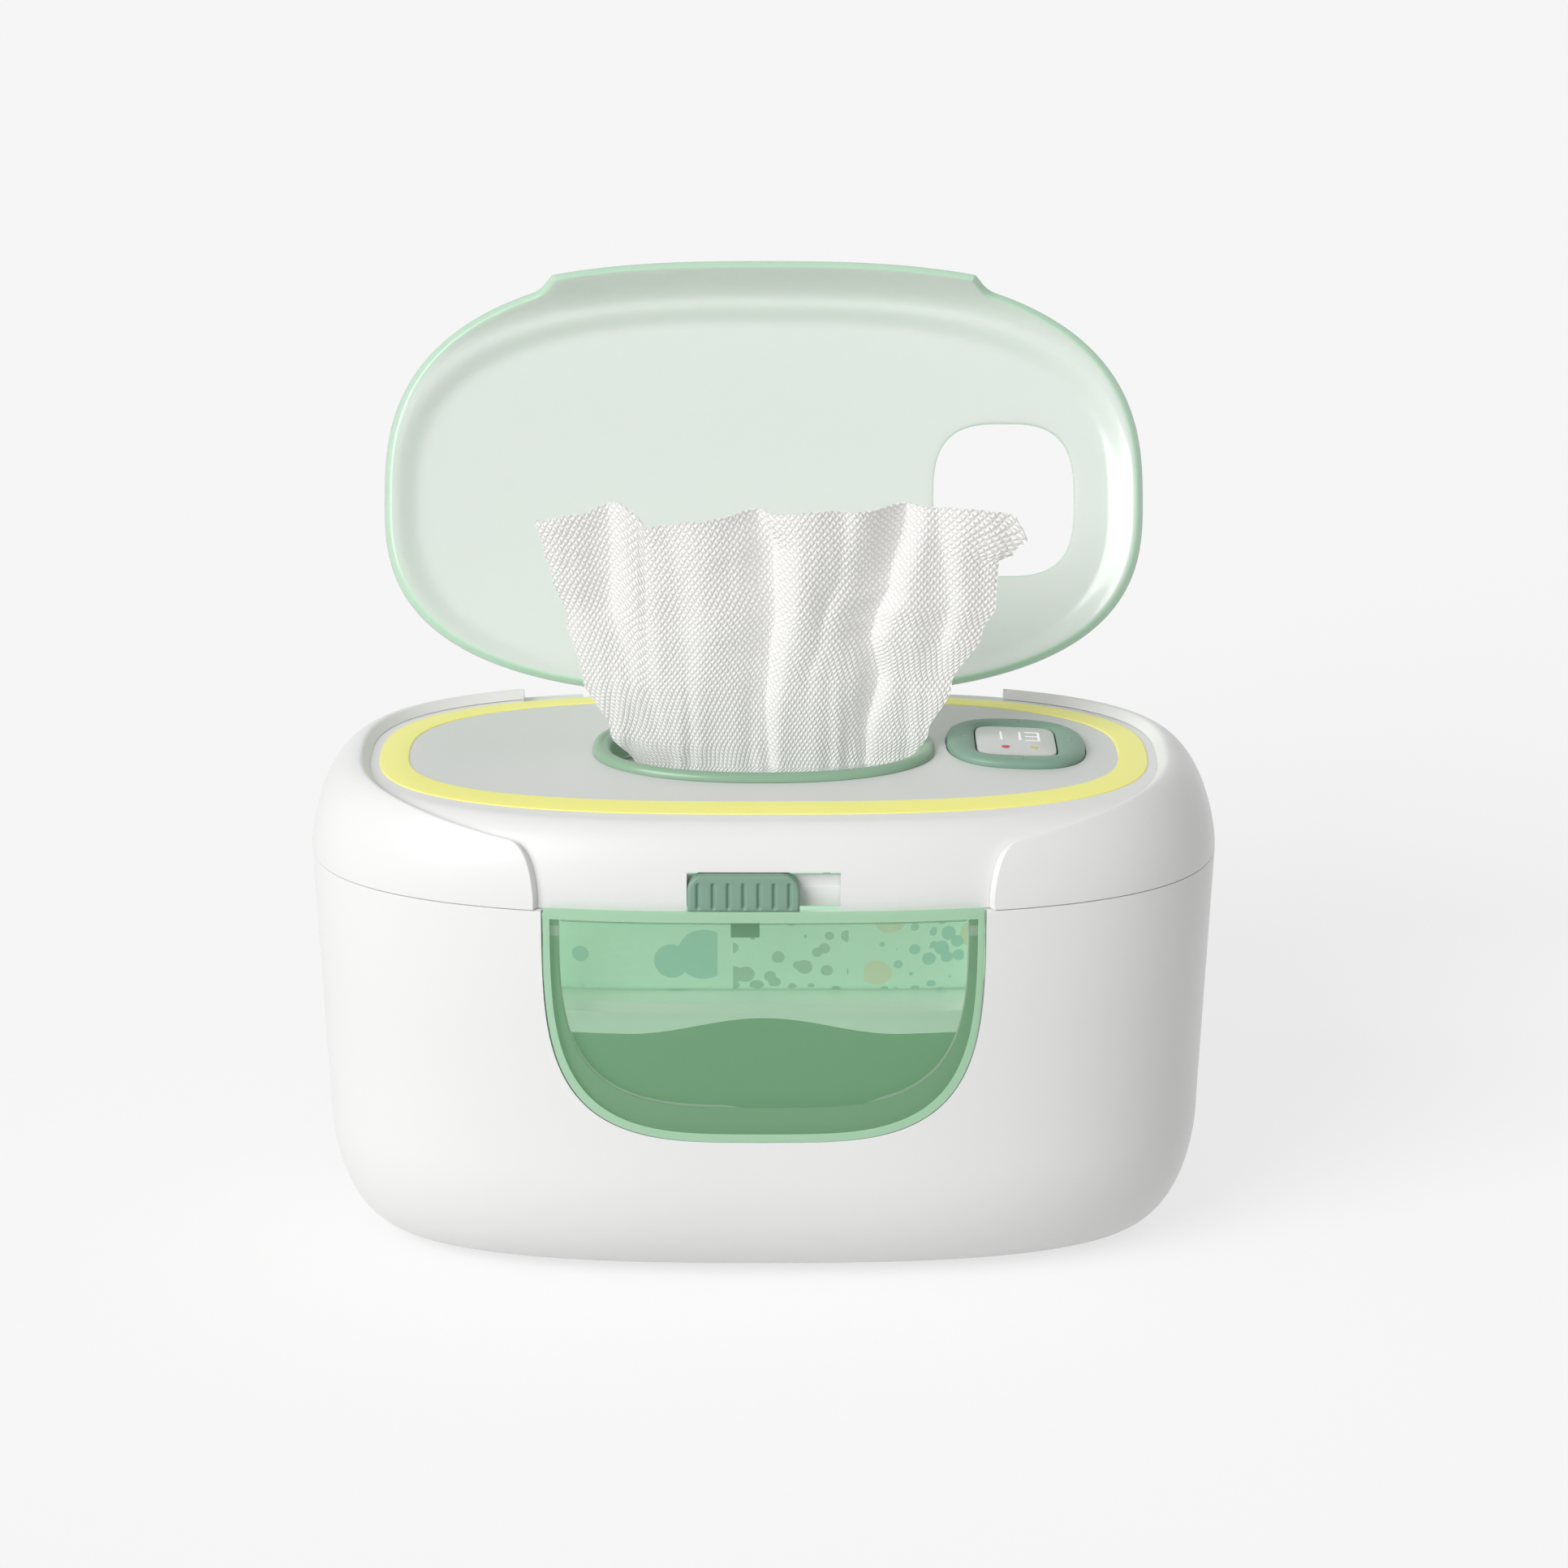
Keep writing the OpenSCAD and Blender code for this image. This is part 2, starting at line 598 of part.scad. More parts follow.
deck_screws = [[A - 32, -8], [32 - A, 0], [56 - A, B - 37], [key_x - 27, B - 29],
    [key_x - 27, 29 - B], [56 - A, 37 - B]];
module deck_panel() {
    color([0.85, 0.86, 0.84]) difference() {
        union() {
            cap_layer(deck_in, deck_out);
            for (p = deck_screws) translate([p[0], p[1], liner_z + 2])
                cylinder(h = cap_z(p[0], p[1], deck_out) + 0.8 - liner_z - 2, r = 3);
        }
        // Outlet and key openings
        translate([0, out_y, 0]) plate_shape(out_a - lip_w + play, out_b - lip_w + play,
            cap_top - 20, cap_top + 20, 2.3);
        translate([key_x, key_y, 0]) plate_shape(key_a + play, key_b + play, cap_top - 20,
            cap_top + 20, 2.6);
        // Slot for the slide
        translate([-slot_a, -B - 5, seam_z - 1]) cube([2 * slot_a, 12, slide_h + 1.8]);
        // Groove for the light ring
        ring_band(-1, deck_in + ring_t, play / 2);
        for (p = deck_screws) translate([p[0], p[1], liner_z]) cylinder(h = 4.6, r = 1.2);
        hinge_room();
        // Room for the cradle's front wall
        translate([-room_a - 0.1, room_y - 1.3, room_z - 1.7]) cube([2 * room_a + 0.2, 2, 4.2]);
    }
}

// Room behind the deck for the lid's hinge, and the cradle that holds its pin
room_y = lid_axis_y - lid_barrel_r - 0.4;
room_z = lid_axis_z - lid_barrel_r - 1.6;
room_a = lid_barrel_l + ear_w + 1;
ear_x = lid_barrel_l + 0.4 + ear_w / 2;
module hinge_room() {
    translate([-room_a, room_y, room_z]) cube([2 * room_a, 40, 40]);
    // Lower rim behind the lid's rear corners
    translate([-rim_cut_a, rec_back * 0.8, cap_top - 4]) cube([2 * rim_cut_a, 40, 20]);
}
rim_cut_a = room_a + 16;
module hinge_cradle() {
    color([0.94, 0.94, 0.93]) difference() {
        union() {
            intersection() {
                union() {
                    translate([-room_a, room_y - 1.2, room_z - 1.6]) cube([2 * room_a, 5.8, 1.2]);
                    translate([-room_a, room_y - 1.2, room_z - 1.6]) cube([2 * room_a, 1.2, 4]);
                    for (s = [-1, 1]) translate([s * ear_x - ear_w / 2, room_y - 1, room_z - 1])
                        cube([ear_w, 5, 3]);
                }
                plate_shape(A - deck_out - 9, B - deck_out - 4.8, room_z - 2, room_z + 3);
            }
            for (s = [-1, 1]) translate([s * ear_x - ear_w / 2, 0, 0]) {
                x_rod(0, ear_w, lid_axis_y, lid_axis_z, lid_barrel_r);
                translate([0, room_y + 0.2, room_z + 0.2]) cube([ear_w, lid_axis_y
                    + lid_barrel_r - 1 - room_y, lid_axis_z - room_z - 0.2]);
                translate([0, room_y - 1, room_z + 0.2]) cube([ear_w, 2, 2]);
            }
        }
        x_rod(-A, A, lid_axis_y, lid_axis_z, lid_pin_r);
    }
}

// Band that follows the crown of the deck, from depth d0 to d1 and grown by g
module ring_band(d0, d1, g) {
    oo = outline(ring_a + g, ring_b + g, ring_b + g, plan_n);
    ii = outline(ring_a - ring_w - g, ring_b - ring_w - g, ring_b - ring_w - g, plan_n);
    loop_loft([
        [for (p = oo) [p[0], p[1], cap_z(p[0], p[1], 0) - d0]],
        [for (p = ii) [p[0], p[1], cap_z(p[0], p[1], 0) - d0]],
        [for (p = ii) [p[0], p[1], cap_z(p[0], p[1], 0) - d1]],
        [for (p = oo) [p[0], p[1], cap_z(p[0], p[1], 0) - d1]]]);
}
module light_ring() {
    color([0.95, 0.94, 0.52]) ring_band(deck_in - 0.3, deck_in + ring_t - 0.1, 0);
}
module led_strip() {
    color([0.95, 0.95, 0.9]) plan_prism(liner_z + 1.9, liner_z + 2.9) difference() {
        polygon(outline(ring_a - 2, ring_b - 2, ring_b - 2, plan_n));
        polygon(outline(ring_a - 6, ring_b - 6, ring_b - 6, plan_n));
    }
}

// Ring of points whose height follows the deck
function on_deck(cx, cy, a, b, n, h) =
    [for (p = outline(a, b, b, n, 40)) [cx + p[0], cy + p[1], cap_z(cx + p[0], cy + p[1], deck_in) + h]];
module outlet_rim() {
    color([0.6, 0.7, 0.59]) loop_loft([for (q = [[0, 0.12], [0.1, 1], [0.8, 1.8], [1.7, lip_h],
        [2.9, lip_h], [4, 1.7], [4.9, 0.2], [lip_w + 2, -sleeve_h], [lip_w + 0.3, -sleeve_h],
        [lip_w + 0.3, 0.12]]) on_deck(0, out_y, out_a - q[0], out_b - q[0], 2.3, q[1])]);
}
// Soft seal with an oval mouth under the outlet lip
module outlet_seal() {
    color([0.83, 0.85, 0.83]) translate([0, out_y, 0]) plan_prism(liner_z + 0.2, liner_z + 1.7)
        difference() {
            polygon(outline(out_a - 3, out_b - 3, out_b - 3, 2.3));
            polygon(outline(out_a - 9.5, out_b - 13, out_b - 13, 2.3));
        }
}
module cover_liner() {
    color([0.88, 0.89, 0.87]) difference() {
        plate_shape(A - deck_out - cap_x + 2, B - deck_out - cap_y, liner_z, liner_z + 1.8);
        translate([0, out_y, 0]) plate_shape(out_a - 2.8, out_b - 2.8, liner_z - 1, liner_z + 4,
            2.3);
        for (p = deck_screws) translate([p[0], p[1], liner_z - 1]) cylinder(h = 4, r = 1.4);
    }
}
module liner_screws() {
    color([0.75, 0.76, 0.78]) for (p = deck_screws) translate([p[0], p[1], liner_z - 1.3]) {
        cylinder(h = 1.2, r = 2.6);
        cylinder(h = 5, r = 1.1);
    }
}

disp_z = liner_z + 2;
module display_board() {
    color([0.1, 0.32, 0.2]) translate([key_x - 15.5, key_y - 17, disp_z - 0.1]) cube([31, 34, 1.4]);
}
module display_lens() {
    ll = outline(disp_a, disp_b, disp_b, 6, 40);
    color([0.78, 0.8, 0.78]) translate([key_x, key_y, 0]) loft([
        [for (p = ll) [p[0], p[1], disp_z + 1.4]],
        [for (p = ll) [p[0], p[1], cap_z(key_x + p[0], key_y + p[1], deck_in) + key_h - 0.9]],
        [for (p = ll) [p[0] * 0.94, p[1] * 0.94,
            cap_z(key_x + p[0], key_y + p[1], deck_in) + key_h - 0.6]]]);
}
dome_at = [[-14, 0], [14, 0], [0, -15.2], [0, 15.2]];
module key_domes() {
    color([0.2, 0.2, 0.22]) for (p = dome_at)
        translate([key_x + p[0] * 0.98, key_y + p[1], disp_z + 1.4]) cylinder(h = 0.5, r = 1.4);
}
module control_ring() {
    color([0.5, 0.61, 0.54]) union() {
        loop_loft([for (q = [[key_a, key_b, 2.6, -2], [key_a, key_b, 2.6, key_h - 1.2],
            [key_a - 1.2, key_b - 1.2, 2.6, key_h - 0.2],
            [(key_a + disp_a) / 2 + 0.8, (key_b + disp_b) / 2 + 0.8, 3.4, key_h],
            [disp_a + 1, disp_b + 1, 5, key_h - 0.5],
            [disp_a + play, disp_b + play, 6, key_h - 1.1],
            [disp_a + play, disp_b + play, 6, -2]])
            on_deck(key_x, key_y, q[0], q[1], q[2], q[3])]);
        for (p = dome_at) translate([key_x + p[0], key_y + p[1], disp_z + 1.9 + key_travel + 0.15])
            cylinder(h = cap_z(key_x + p[0], key_y + p[1], deck_in) - 1 - disp_z - 2.05 - key_travel,
                r = 1);
    }
}

module lid_hinge_pin() {
    color([0.72, 0.73, 0.75]) x_rod(-(lid_barrel_l + ear_w), lid_barrel_l + ear_w, lid_axis_y,
        lid_axis_z, lid_pin_r);
}

// Closed lid: a shell in the recess whose middle rises over the lip and the keys
function lid_lift(e) = lid_rise * (e >= 1 ? 1 : sin(90 * max(0, e)));
function lid_ring(d, s) =
    let (a = (A - cap_x) * s, e = ((A - cap_x) * (1 - s) - 1) / (lid_border - 1))
    flat_ring(a, (B - cap_y) * s * (s > 0.99 ? 1 : (1 - (1 - s) * 0.35)),
        cap_top - d + crown * (1 - s * s) + lid_lift(e));
function lid_bend(d, th) =
    flat_ring(A - d - cap_x * (1 - pow(cos(th), 1.11)), B - d - cap_y * (1 - pow(cos(th), 1.11)),
        seam_z + (cap_h - d) * pow(sin(th), 1.11));
function lid_rings(d) = concat([for (th = [16, 30, 43, 56, 68, 79]) lid_bend(d, th)],
    [for (s = [1 - d / (A - cap_x), 0.975, 0.95, 0.915, 0.75, 0.5, 0.2]) lid_ring(d, s)]);
module lid_closed() {
    difference() {
        union() {
            difference() {
                intersection() {
                    loft(concat(reversed(lid_rings(lid_t)), lid_rings(0)));
                    plan_prism(lid_tip_z, cap_top + 20) recess_plan(lid_gap, lid_back_gap);
                }
                translate([-A, rec_back - 1.6, cap_top - 15]) cube([2 * A, 20, 40]);
            }
            x_rod(-lid_barrel_l, lid_barrel_l, lid_axis_y, lid_axis_z, lid_barrel_r);
            // Web from the barrel to the lid's rear edge
            translate([-lid_barrel_l, lid_axis_y - 1.9, lid_axis_z])
                cube([2 * lid_barrel_l, 1.8, lid_axis_drop - 0.8]);
            translate([-lid_barrel_l, rec_back - lid_back_gap - 2.6, cap_top - 1.6])
                cube([2 * lid_barrel_l, lid_axis_y - rec_back + lid_back_gap + 2.5, 1.2]);
        }
        x_rod(-A, A, lid_axis_y, lid_axis_z, lid_pin_r + pin_play);
        translate([key_x, key_y + cut_y, 0]) plate_shape(cut_a, cut_b, cap_top - 20, cap_top + 20, 3);
    }
}
module flip_lid() {
    color([0.89, 0.92, 0.88]) translate([0, lid_axis_y, lid_axis_z]) rotate([-lid_open, 0, 0])
        translate([0, -lid_axis_y, -lid_axis_z]) lid_closed();
}

// Slide with a ribbed face and a hook behind the window
slide_y0 = -(B - deck_in) - slide_proud;
slide_lean = 1.3;
slide_back = deck_t + 1;
module slide_button() {
    color([0.51, 0.63, 0.56]) union() {
        difference() {
            intersection() {
                translate([slide_x, 0, 0]) rotate([90, 0, 90]) linear_extrude(slide_w) polygon([
                    [slide_y0 + 0.6, seam_z + 0.5], [slide_y0, seam_z + 1.1],
                    [slide_y0 + slide_lean, seam_z + slide_h],
                    [slide_y0 + slide_lean + 0.6, seam_z + slide_h + 0.5],
                    [slide_y0 + slide_proud + slide_back, seam_z + slide_h + 0.5],
                    [slide_y0 + slide_proud + slide_back, seam_z + 0.5]]);
                front_prism() union() {
                    translate([slide_x, seam_z]) square([slide_w, slide_h - 3.8]);
                    translate([slide_x + 4.3, seam_z]) square([slide_w - 8.6, slide_h + 0.5]);
                    for (x = [slide_x + 4.3, slide_x + slide_w - 4.3])
                        translate([x, seam_z + slide_h - 3.8]) circle(r = 4.3);
                }
            }
            for (i = [0:grooves - 1]) translate([slide_x + slide_w / 2 - 0.45 +
                (i - (grooves - 1) / 2) * groove_p, 0, 0]) rotate([90, 0, 90])
                linear_extrude(0.9) polygon([[slide_y0 - 1, seam_z + 0.9],
                    [slide_y0 - 1 + slide_lean, seam_z + slide_h - 1.6],
                    [slide_y0 + 0.7 + slide_lean, seam_z + slide_h - 1.6],
                    [slide_y0 + 0.7, seam_z + 0.9]]);
        }
        // Hook that reaches down behind the window's top rail
        translate([hook_x, hook_y, seam_z - hook_l]) cube([hook_w, hook_t, hook_l + 2]);
        translate([hook_x + 0.6, hook_y - 0.2, seam_z - hook_l + 0.4])
            cube([hook_w - 1.2, hook_t, 2]);
    }
}
hook_x = slide_x + (slide_w - hook_w) / 2 + 0.4;
hook_t = 1.4;
hook_y = -(B - deck_in) + 0.8;

// Plate behind the slot that the slide runs on
// Inner face of the deck at a place and height of its front, where the plate's tabs seat
function deck_face(x, z) =
    let (c = cos(asin(pow((z - seam_z) / (cap_h - deck_out), 1 / 1.11))), out = 1 - pow(c, 1.11),
        b = B - deck_out - cap_y * out, edge = outline(A - deck_out - cap_x * out, b, b, plan_n))
    lookup(x, [for (i = [seg * 3 / 4:seg - 1]) [edge[i][0], -edge[i][1]]]);
catch_y = -min(B - deck_in - slide_back - 0.3, deck_face(slot_a + 6.5, seam_z + 5) - 0.41);
module catch_plate() {
    color([0.88, 0.89, 0.87]) union() {
        translate([-slot_a - 7, 0, 0]) rotate([90, 0, 90]) linear_extrude(2 * slot_a + 14) polygon([
            [catch_y, seam_z + 0.6], [catch_y + 0.6, seam_z + slide_h - 0.7],
            [catch_y + 1.8, seam_z + slide_h - 0.7], [catch_y + 1.2, seam_z + 0.6]]);
        for (x = [-slot_a - 6.5, slot_a + 2.5]) translate([x, catch_y - 0.4, seam_z + 1.5])
            cube([4, 1, 3.5]);
    }
}

// One wipe standing out of the outlet, with its main folds
sheet_z0 = pack_z + pack_h + 0.5;
sheet_top = cap_top + 64;
// Half widths to the left and right, measured from the outer edge of the outlet's lip
function sheet_l(v) =
    out_a + lookup(v, [[0, -21.3], [0.1, -14.3], [0.2, -5.3], [0.45, 3.7], [0.8, 10.7], [1, 13.7]]);
function sheet_r(v) =
    out_a + lookup(v, [[0, -21.3], [0.1, -12.3], [0.2, -1.3], [0.45, 10.7], [0.8, 16.7], [1, 20.7]]);
function sheet_x(u, v) = -sheet_l(v) + (sheet_l(v) + sheet_r(v)) * u;
function sheet_y(u, v) = out_y + 3 * v + (2 + 7 * v) * cos(360 * 2.6 * u - 40 + 30 * v)
    + 2.2 * v * cos(360 * 5.5 * u + 60) + 10 * v * (u - 0.5) * (u - 0.5);
function sheet_h(u, v) = sheet_z0 + v * (sheet_top + 2.4 * cos(360 * 2.3 * u - 200) - sheet_z0);
sheet_nu = 38;
sheet_nv = 13;
module wipe_sheet() {
    w = sheet_nu + 1;
    m = w * (sheet_nv + 1);
    pts = concat(
        [for (j = [0:sheet_nv]) for (i = [0:sheet_nu]) let (u = i / sheet_nu, v = j / sheet_nv)
            [sheet_x(u, v), sheet_y(u, v) - 0.6, sheet_h(u, v)]],
        [for (j = [0:sheet_nv]) for (i = [0:sheet_nu]) let (u = i / sheet_nu, v = j / sheet_nv)
            [sheet_x(u, v), sheet_y(u, v) + 0.6, sheet_h(u, v)]]);
    edge = concat([for (i = [0:sheet_nu - 1]) i], [for (j = [0:sheet_nv - 1]) j * w + sheet_nu],
        [for (i = [sheet_nu:-1:1]) sheet_nv * w + i], [for (j = [sheet_nv:-1:1]) j * w]);
    n = len(edge);
    color([0.86, 0.86, 0.83]) polyhedron(points = pts, faces = concat(
        [for (j = [0:sheet_nv - 1]) for (i = [0:sheet_nu - 1])
            [j * w + i, (j + 1) * w + i, (j + 1) * w + i + 1]],
        [for (j = [0:sheet_nv - 1]) for (i = [0:sheet_nu - 1])
            [j * w + i, (j + 1) * w + i + 1, j * w + i + 1]],
        [for (j = [0:sheet_nv - 1]) for (i = [0:sheet_nu - 1])
            [m + j * w + i, m + (j + 1) * w + i + 1, m + (j + 1) * w + i]],
        [for (j = [0:sheet_nv - 1]) for (i = [0:sheet_nu - 1])
            [m + j * w + i, m + j * w + i + 1, m + (j + 1) * w + i + 1]],
        [for (k = [0:n - 1]) [edge[k], edge[(k + 1) % n], m + edge[(k + 1) % n]]],
        [for (k = [0:n - 1]) [edge[k], m + edge[(k + 1) % n], m + edge[k]]]), convexity = 8);
}

body_shell();
base_plate();
foot_pads();
base_screws();
front_window();
window_gasket();
front_guard();
inner_bin();
heat_spreader();
heater_film();
insulation_pad();
thermal_cutoff();
power_board();
board_parts();
dc_socket();
cover_hinge_pins();
lift_springs();
lift_plate();
wipe_pack();
top_shell();
deck_panel();
light_ring();
led_strip();
outlet_rim();
outlet_seal();
cover_liner();
liner_screws();
display_lens();
display_board();
key_domes();
catch_plate();
hinge_cradle();
lid_hinge_pin();
wipe_sheet();
flip_lid();
slide_button();
control_ring();
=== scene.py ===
"""Looks of a baby wipe warmer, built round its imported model.

Every size is in metres in the model's own frame: X to the right, Y to the back, Z up.
Each operator makes one piece or one group of like pieces; main() runs them in order.
"""

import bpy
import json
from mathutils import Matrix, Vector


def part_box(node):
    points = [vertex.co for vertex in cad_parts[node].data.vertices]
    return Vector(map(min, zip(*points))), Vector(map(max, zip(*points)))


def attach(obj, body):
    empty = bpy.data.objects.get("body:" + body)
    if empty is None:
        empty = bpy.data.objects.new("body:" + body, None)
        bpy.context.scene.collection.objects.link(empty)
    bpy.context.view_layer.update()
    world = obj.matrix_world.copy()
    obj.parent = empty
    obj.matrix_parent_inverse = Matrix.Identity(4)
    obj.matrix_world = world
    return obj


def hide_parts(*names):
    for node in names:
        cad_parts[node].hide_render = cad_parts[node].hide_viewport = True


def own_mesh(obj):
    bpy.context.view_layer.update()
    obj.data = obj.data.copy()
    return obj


bl_info = {
    "name": "Wipe warmer",
    "version": (1, 0, 0),
    "blender": (4, 5, 0),
    "location": "View3D > Sidebar > Warmer",
    "description": "Builds the smooth pieces, finishes and stage of a baby wipe warmer",
    "category": "Object",
}

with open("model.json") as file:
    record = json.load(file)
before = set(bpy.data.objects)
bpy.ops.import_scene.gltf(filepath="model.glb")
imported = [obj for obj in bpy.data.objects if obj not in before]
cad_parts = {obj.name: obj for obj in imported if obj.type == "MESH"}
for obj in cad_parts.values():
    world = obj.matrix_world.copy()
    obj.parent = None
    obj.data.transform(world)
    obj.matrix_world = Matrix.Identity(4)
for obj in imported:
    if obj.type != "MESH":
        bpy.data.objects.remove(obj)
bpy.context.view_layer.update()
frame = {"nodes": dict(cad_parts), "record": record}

import json
import math

import bmesh
import bpy
from bpy.props import FloatProperty, FloatVectorProperty, PointerProperty
from mathutils import Matrix, Vector, noise

MM = 0.001
# Middles of the key ring and the outlet in millimetres, and the outlet's squareness
KEYS_AT = (67, 1)
OUTLET_AT = (0, -4.5)
OUTLET_PLAN = 2.3
# The lift springs, and the flip lid's axis as Y and Z
SPRINGS_AT = [(x, y) for x in (-0.07, 0.07) for y in (-0.026, 0.026)]
LID_AXIS = (57.6 * MM, 125.6 * MM)
# The window in the front view: half width, height and squareness
WINDOW_A, WINDOW_B, WINDOW_PLAN = 57 * MM, 63.3 * MM, 3.7
# Camera fitted to the photograph: its width and focal length in pixels, place, tilt and shift
PHOTO_PX, FOCAL_PX, SHIFT_PX = 1932, 6290.46, 25
CAMERA_AT = (0, -1.29294, 0.54513)
CAMERA_TILT = math.radians(71.86)
# Light of the world on the object, and what the camera sees of the world
WORLD_LIGHT = 0.38
WORLD_SEEN = 0.94
# Share of the floor's own light where it is seen, which lifts it towards the photo's near white
FLOOR_LIT = 0.68
# Name, kind, strength, width in degrees, direction towards the lamp
LAMPS = [("key_lamp", "SUN", 2.2, 40, (-0.6, -0.66, 0.5))]


def paint(red, green, blue):
    """Colour from its 0 to 255 screen values."""
    def one(c):
        c /= 255
        return c / 12.92 if c <= 0.04045 else ((c + 0.055) / 1.055) ** 2.4
    return one(red), one(green), one(blue)


def length(name, text, mm):
    return FloatProperty(name=name, description=text, default=mm * MM, min=0, unit="LENGTH",
                         precision=5)


def colour(name, text, *rgb):
    return FloatVectorProperty(name=name, description=text, default=paint(*rgb), size=3, min=0, max=1,
                               subtype="COLOR")


class WarmerSizes(bpy.types.PropertyGroup):
    """Sizes of the warmer's smooth pieces"""
    half_w: length("Half width", "Half of the body's width at the seam", 120)
    half_d: length("Half depth", "Half of the body's depth at the seam", 67)
    seam: length("Seam height", "Height of the seam between body and cover", 108)
    seam_gap: length("Seam gap", "Width of the dark seam line", 0.3)
    plan: FloatProperty(name="Squareness", description="Squareness of the plan, 2 is an ellipse",
                        default=2.7, min=2, max=5)
    draft: length("Draft", "How far the walls lean in down to the lower bend", 3)
    foot: length("Foot height", "Height of the rubber feet", 1.5)
    bend_h: length("Lower bend height", "Height of the lower bend", 36)
    bend_x: length("Lower bend, ends", "How far the lower bend comes in at the ends", 19)
    bend_y: length("Lower bend, front", "How far the lower bend comes in at the front", 25)
    wall: length("Wall", "Wall of the body", 3)
    cap_h: length("Cover height", "Height of the cover's bend", 24.2)
    cap_x: length("Cover bend, ends", "How far the cover's bend comes in at the ends", 13.5)
    cap_y: length("Cover bend, front", "How far the cover's bend comes in at the front", 9.2)
    crown: length("Crown", "Rise of the deck's middle", 3.4)
    shell: length("Cover frame", "Thickness of the cover's outer frame", 2.2)
    deck: length("Deck thickness", "Thickness of the deck", 2.2)
    round_edge: length("Edge rounding", "Rounding of moulded edges", 0.7)
    lid_t: length("Lid thickness", "Thickness of the flip lid", 2)
    lid_rise: length("Lid crown", "Rise of the lid's middle over its border", 2.6)
    lid_open: FloatProperty(name="Lid angle", description="Angle at which the lid stands open",
                            default=math.radians(111), subtype="ANGLE")
    pane: length("Window thickness", "Thickness of the window", 1.5)
    pearl: length("Pearl spacing", "Spacing of the pearls pressed into the wipe", 2.0)


class WarmerColours(bpy.types.PropertyGroup):
    """Colours of the warmer's finishes"""
    body: colour("Body", "Moulded white of body and cover", 240, 240, 239)
    deck: colour("Deck", "Pale grey of the deck inside the light ring", 223, 225, 222)
    border: colour("Deck border", "Deck outside the light ring and down the front", 238, 238, 237)
    glow: colour("Light ring", "Diffusing yellow of the light ring", 243, 240, 132)
    lid: colour("Lid", "Pale green of the flip lid", 226, 239, 228)
    lid_edge: colour("Lid edge", "Green that gathers in the lid's edges", 188, 226, 196)
    sage: colour("Sage", "Green of the slide and the key ring", 128, 161, 142)
    lip: colour("Outlet lip", "Green of the outlet's lip", 140, 176, 147)
    window: colour("Window", "Green of the window", 120, 176, 130)
    window_edge: colour("Window edge", "Light green of the window's edge", 186, 228, 194)
    guard: colour("Guard", "Green of the guard behind the window", 128, 169, 134)
    bin: colour("Bin", "Off-white of the bin", 226, 236, 228)
    film: colour("Pack film", "Ground colour of the pack", 205, 236, 214)
    ink: colour("Pack print", "Main print colour of the pack", 70, 160, 150)
    leaf: colour("Pack leaves", "Second print colour of the pack", 84, 128, 98)
    sand: colour("Pack sand", "Third print colour of the pack", 214, 190, 150)
    cloth: colour("Wipe", "White of the wipe", 242, 241, 239)
    screen: colour("Display", "Pale grey of the display", 204, 206, 203)


def sizes():
    return bpy.context.scene.warmer_sizes


def colours():
    return bpy.context.scene.warmer_colours


# Shape helpers

def super_point(a, b, n, turn):
    """Point of a superellipse with half sizes a and b."""
    c, s = math.cos(turn), math.sin(turn)
    return a * math.copysign(abs(c) ** (2 / n), c), b * math.copysign(abs(s) ** (2 / n), s)


def body_point(turn, depth, bend):
    """Point of the body's wall: bend 0 to 1 is the lower bend, 1 to 2 the wall up to the seam."""
    s = sizes()
    if bend <= 1:
        th = math.radians(90 * bend)
        x, y = super_point(s.half_w - depth - s.draft - s.bend_x * (1 - math.sin(th)),
                           s.half_d - depth - s.draft - s.bend_y * (1 - math.sin(th)), s.plan, turn)
        return Vector((x, y, s.foot + s.bend_h * (1 - math.cos(th))))
    up = bend - 1
    x, y = super_point(s.half_w - depth - s.draft * (1 - up), s.half_d - depth - s.draft * (1 - up),
                       s.plan, turn)
    low = s.foot + s.bend_h
    return Vector((x, y, low + (s.seam - low) * up))


def wall_y(x, z, depth):
    """Front of the body's wall over a place in the front view."""
    s = sizes()
    low = s.foot + s.bend_h
    lean = s.draft * (s.seam - z) / (s.seam - low)
    a, b = s.half_w - depth - lean, s.half_d - depth - lean
    return -b * (1 - abs(x / a) ** s.plan) ** (1 / s.plan)


def cover_point(turn, way, depth):
    """Point of the cover: way 0 to 1 goes up the bend, 1 to 2 over the crown to the middle."""
    s = sizes()
    if way <= 1:
        th = math.radians(90 * way)
        up, out = math.sin(th) ** 1.11, 1 - max(0.0, math.cos(th)) ** 1.11
        x, y = super_point(s.half_w - depth - s.cap_x * out, s.half_d - depth - s.cap_y * out,
                           s.plan, turn)
        return Vector((x, y, max(s.seam + s.seam_gap, s.seam + (s.cap_h - depth) * up)))
    k = 2 - way
    x, y = super_point((s.half_w - depth - s.cap_x) * k, (s.half_d - depth - s.cap_y) * k, s.plan, turn)
    return Vector((x, y, s.seam + s.cap_h - depth + s.crown * (1 - k * k)))


def cover_z(x, y, depth):
    """Height of the deck's skin at depth under the cover's outer face."""
    s = sizes()
    a, b = s.half_w - depth - s.cap_x, s.half_d - depth - s.cap_y
    k = (abs(x / a) ** s.plan + abs(y / b) ** s.plan) ** (1 / s.plan)
    return s.seam + s.cap_h - depth + s.crown * (1 - min(1, k) ** 2)


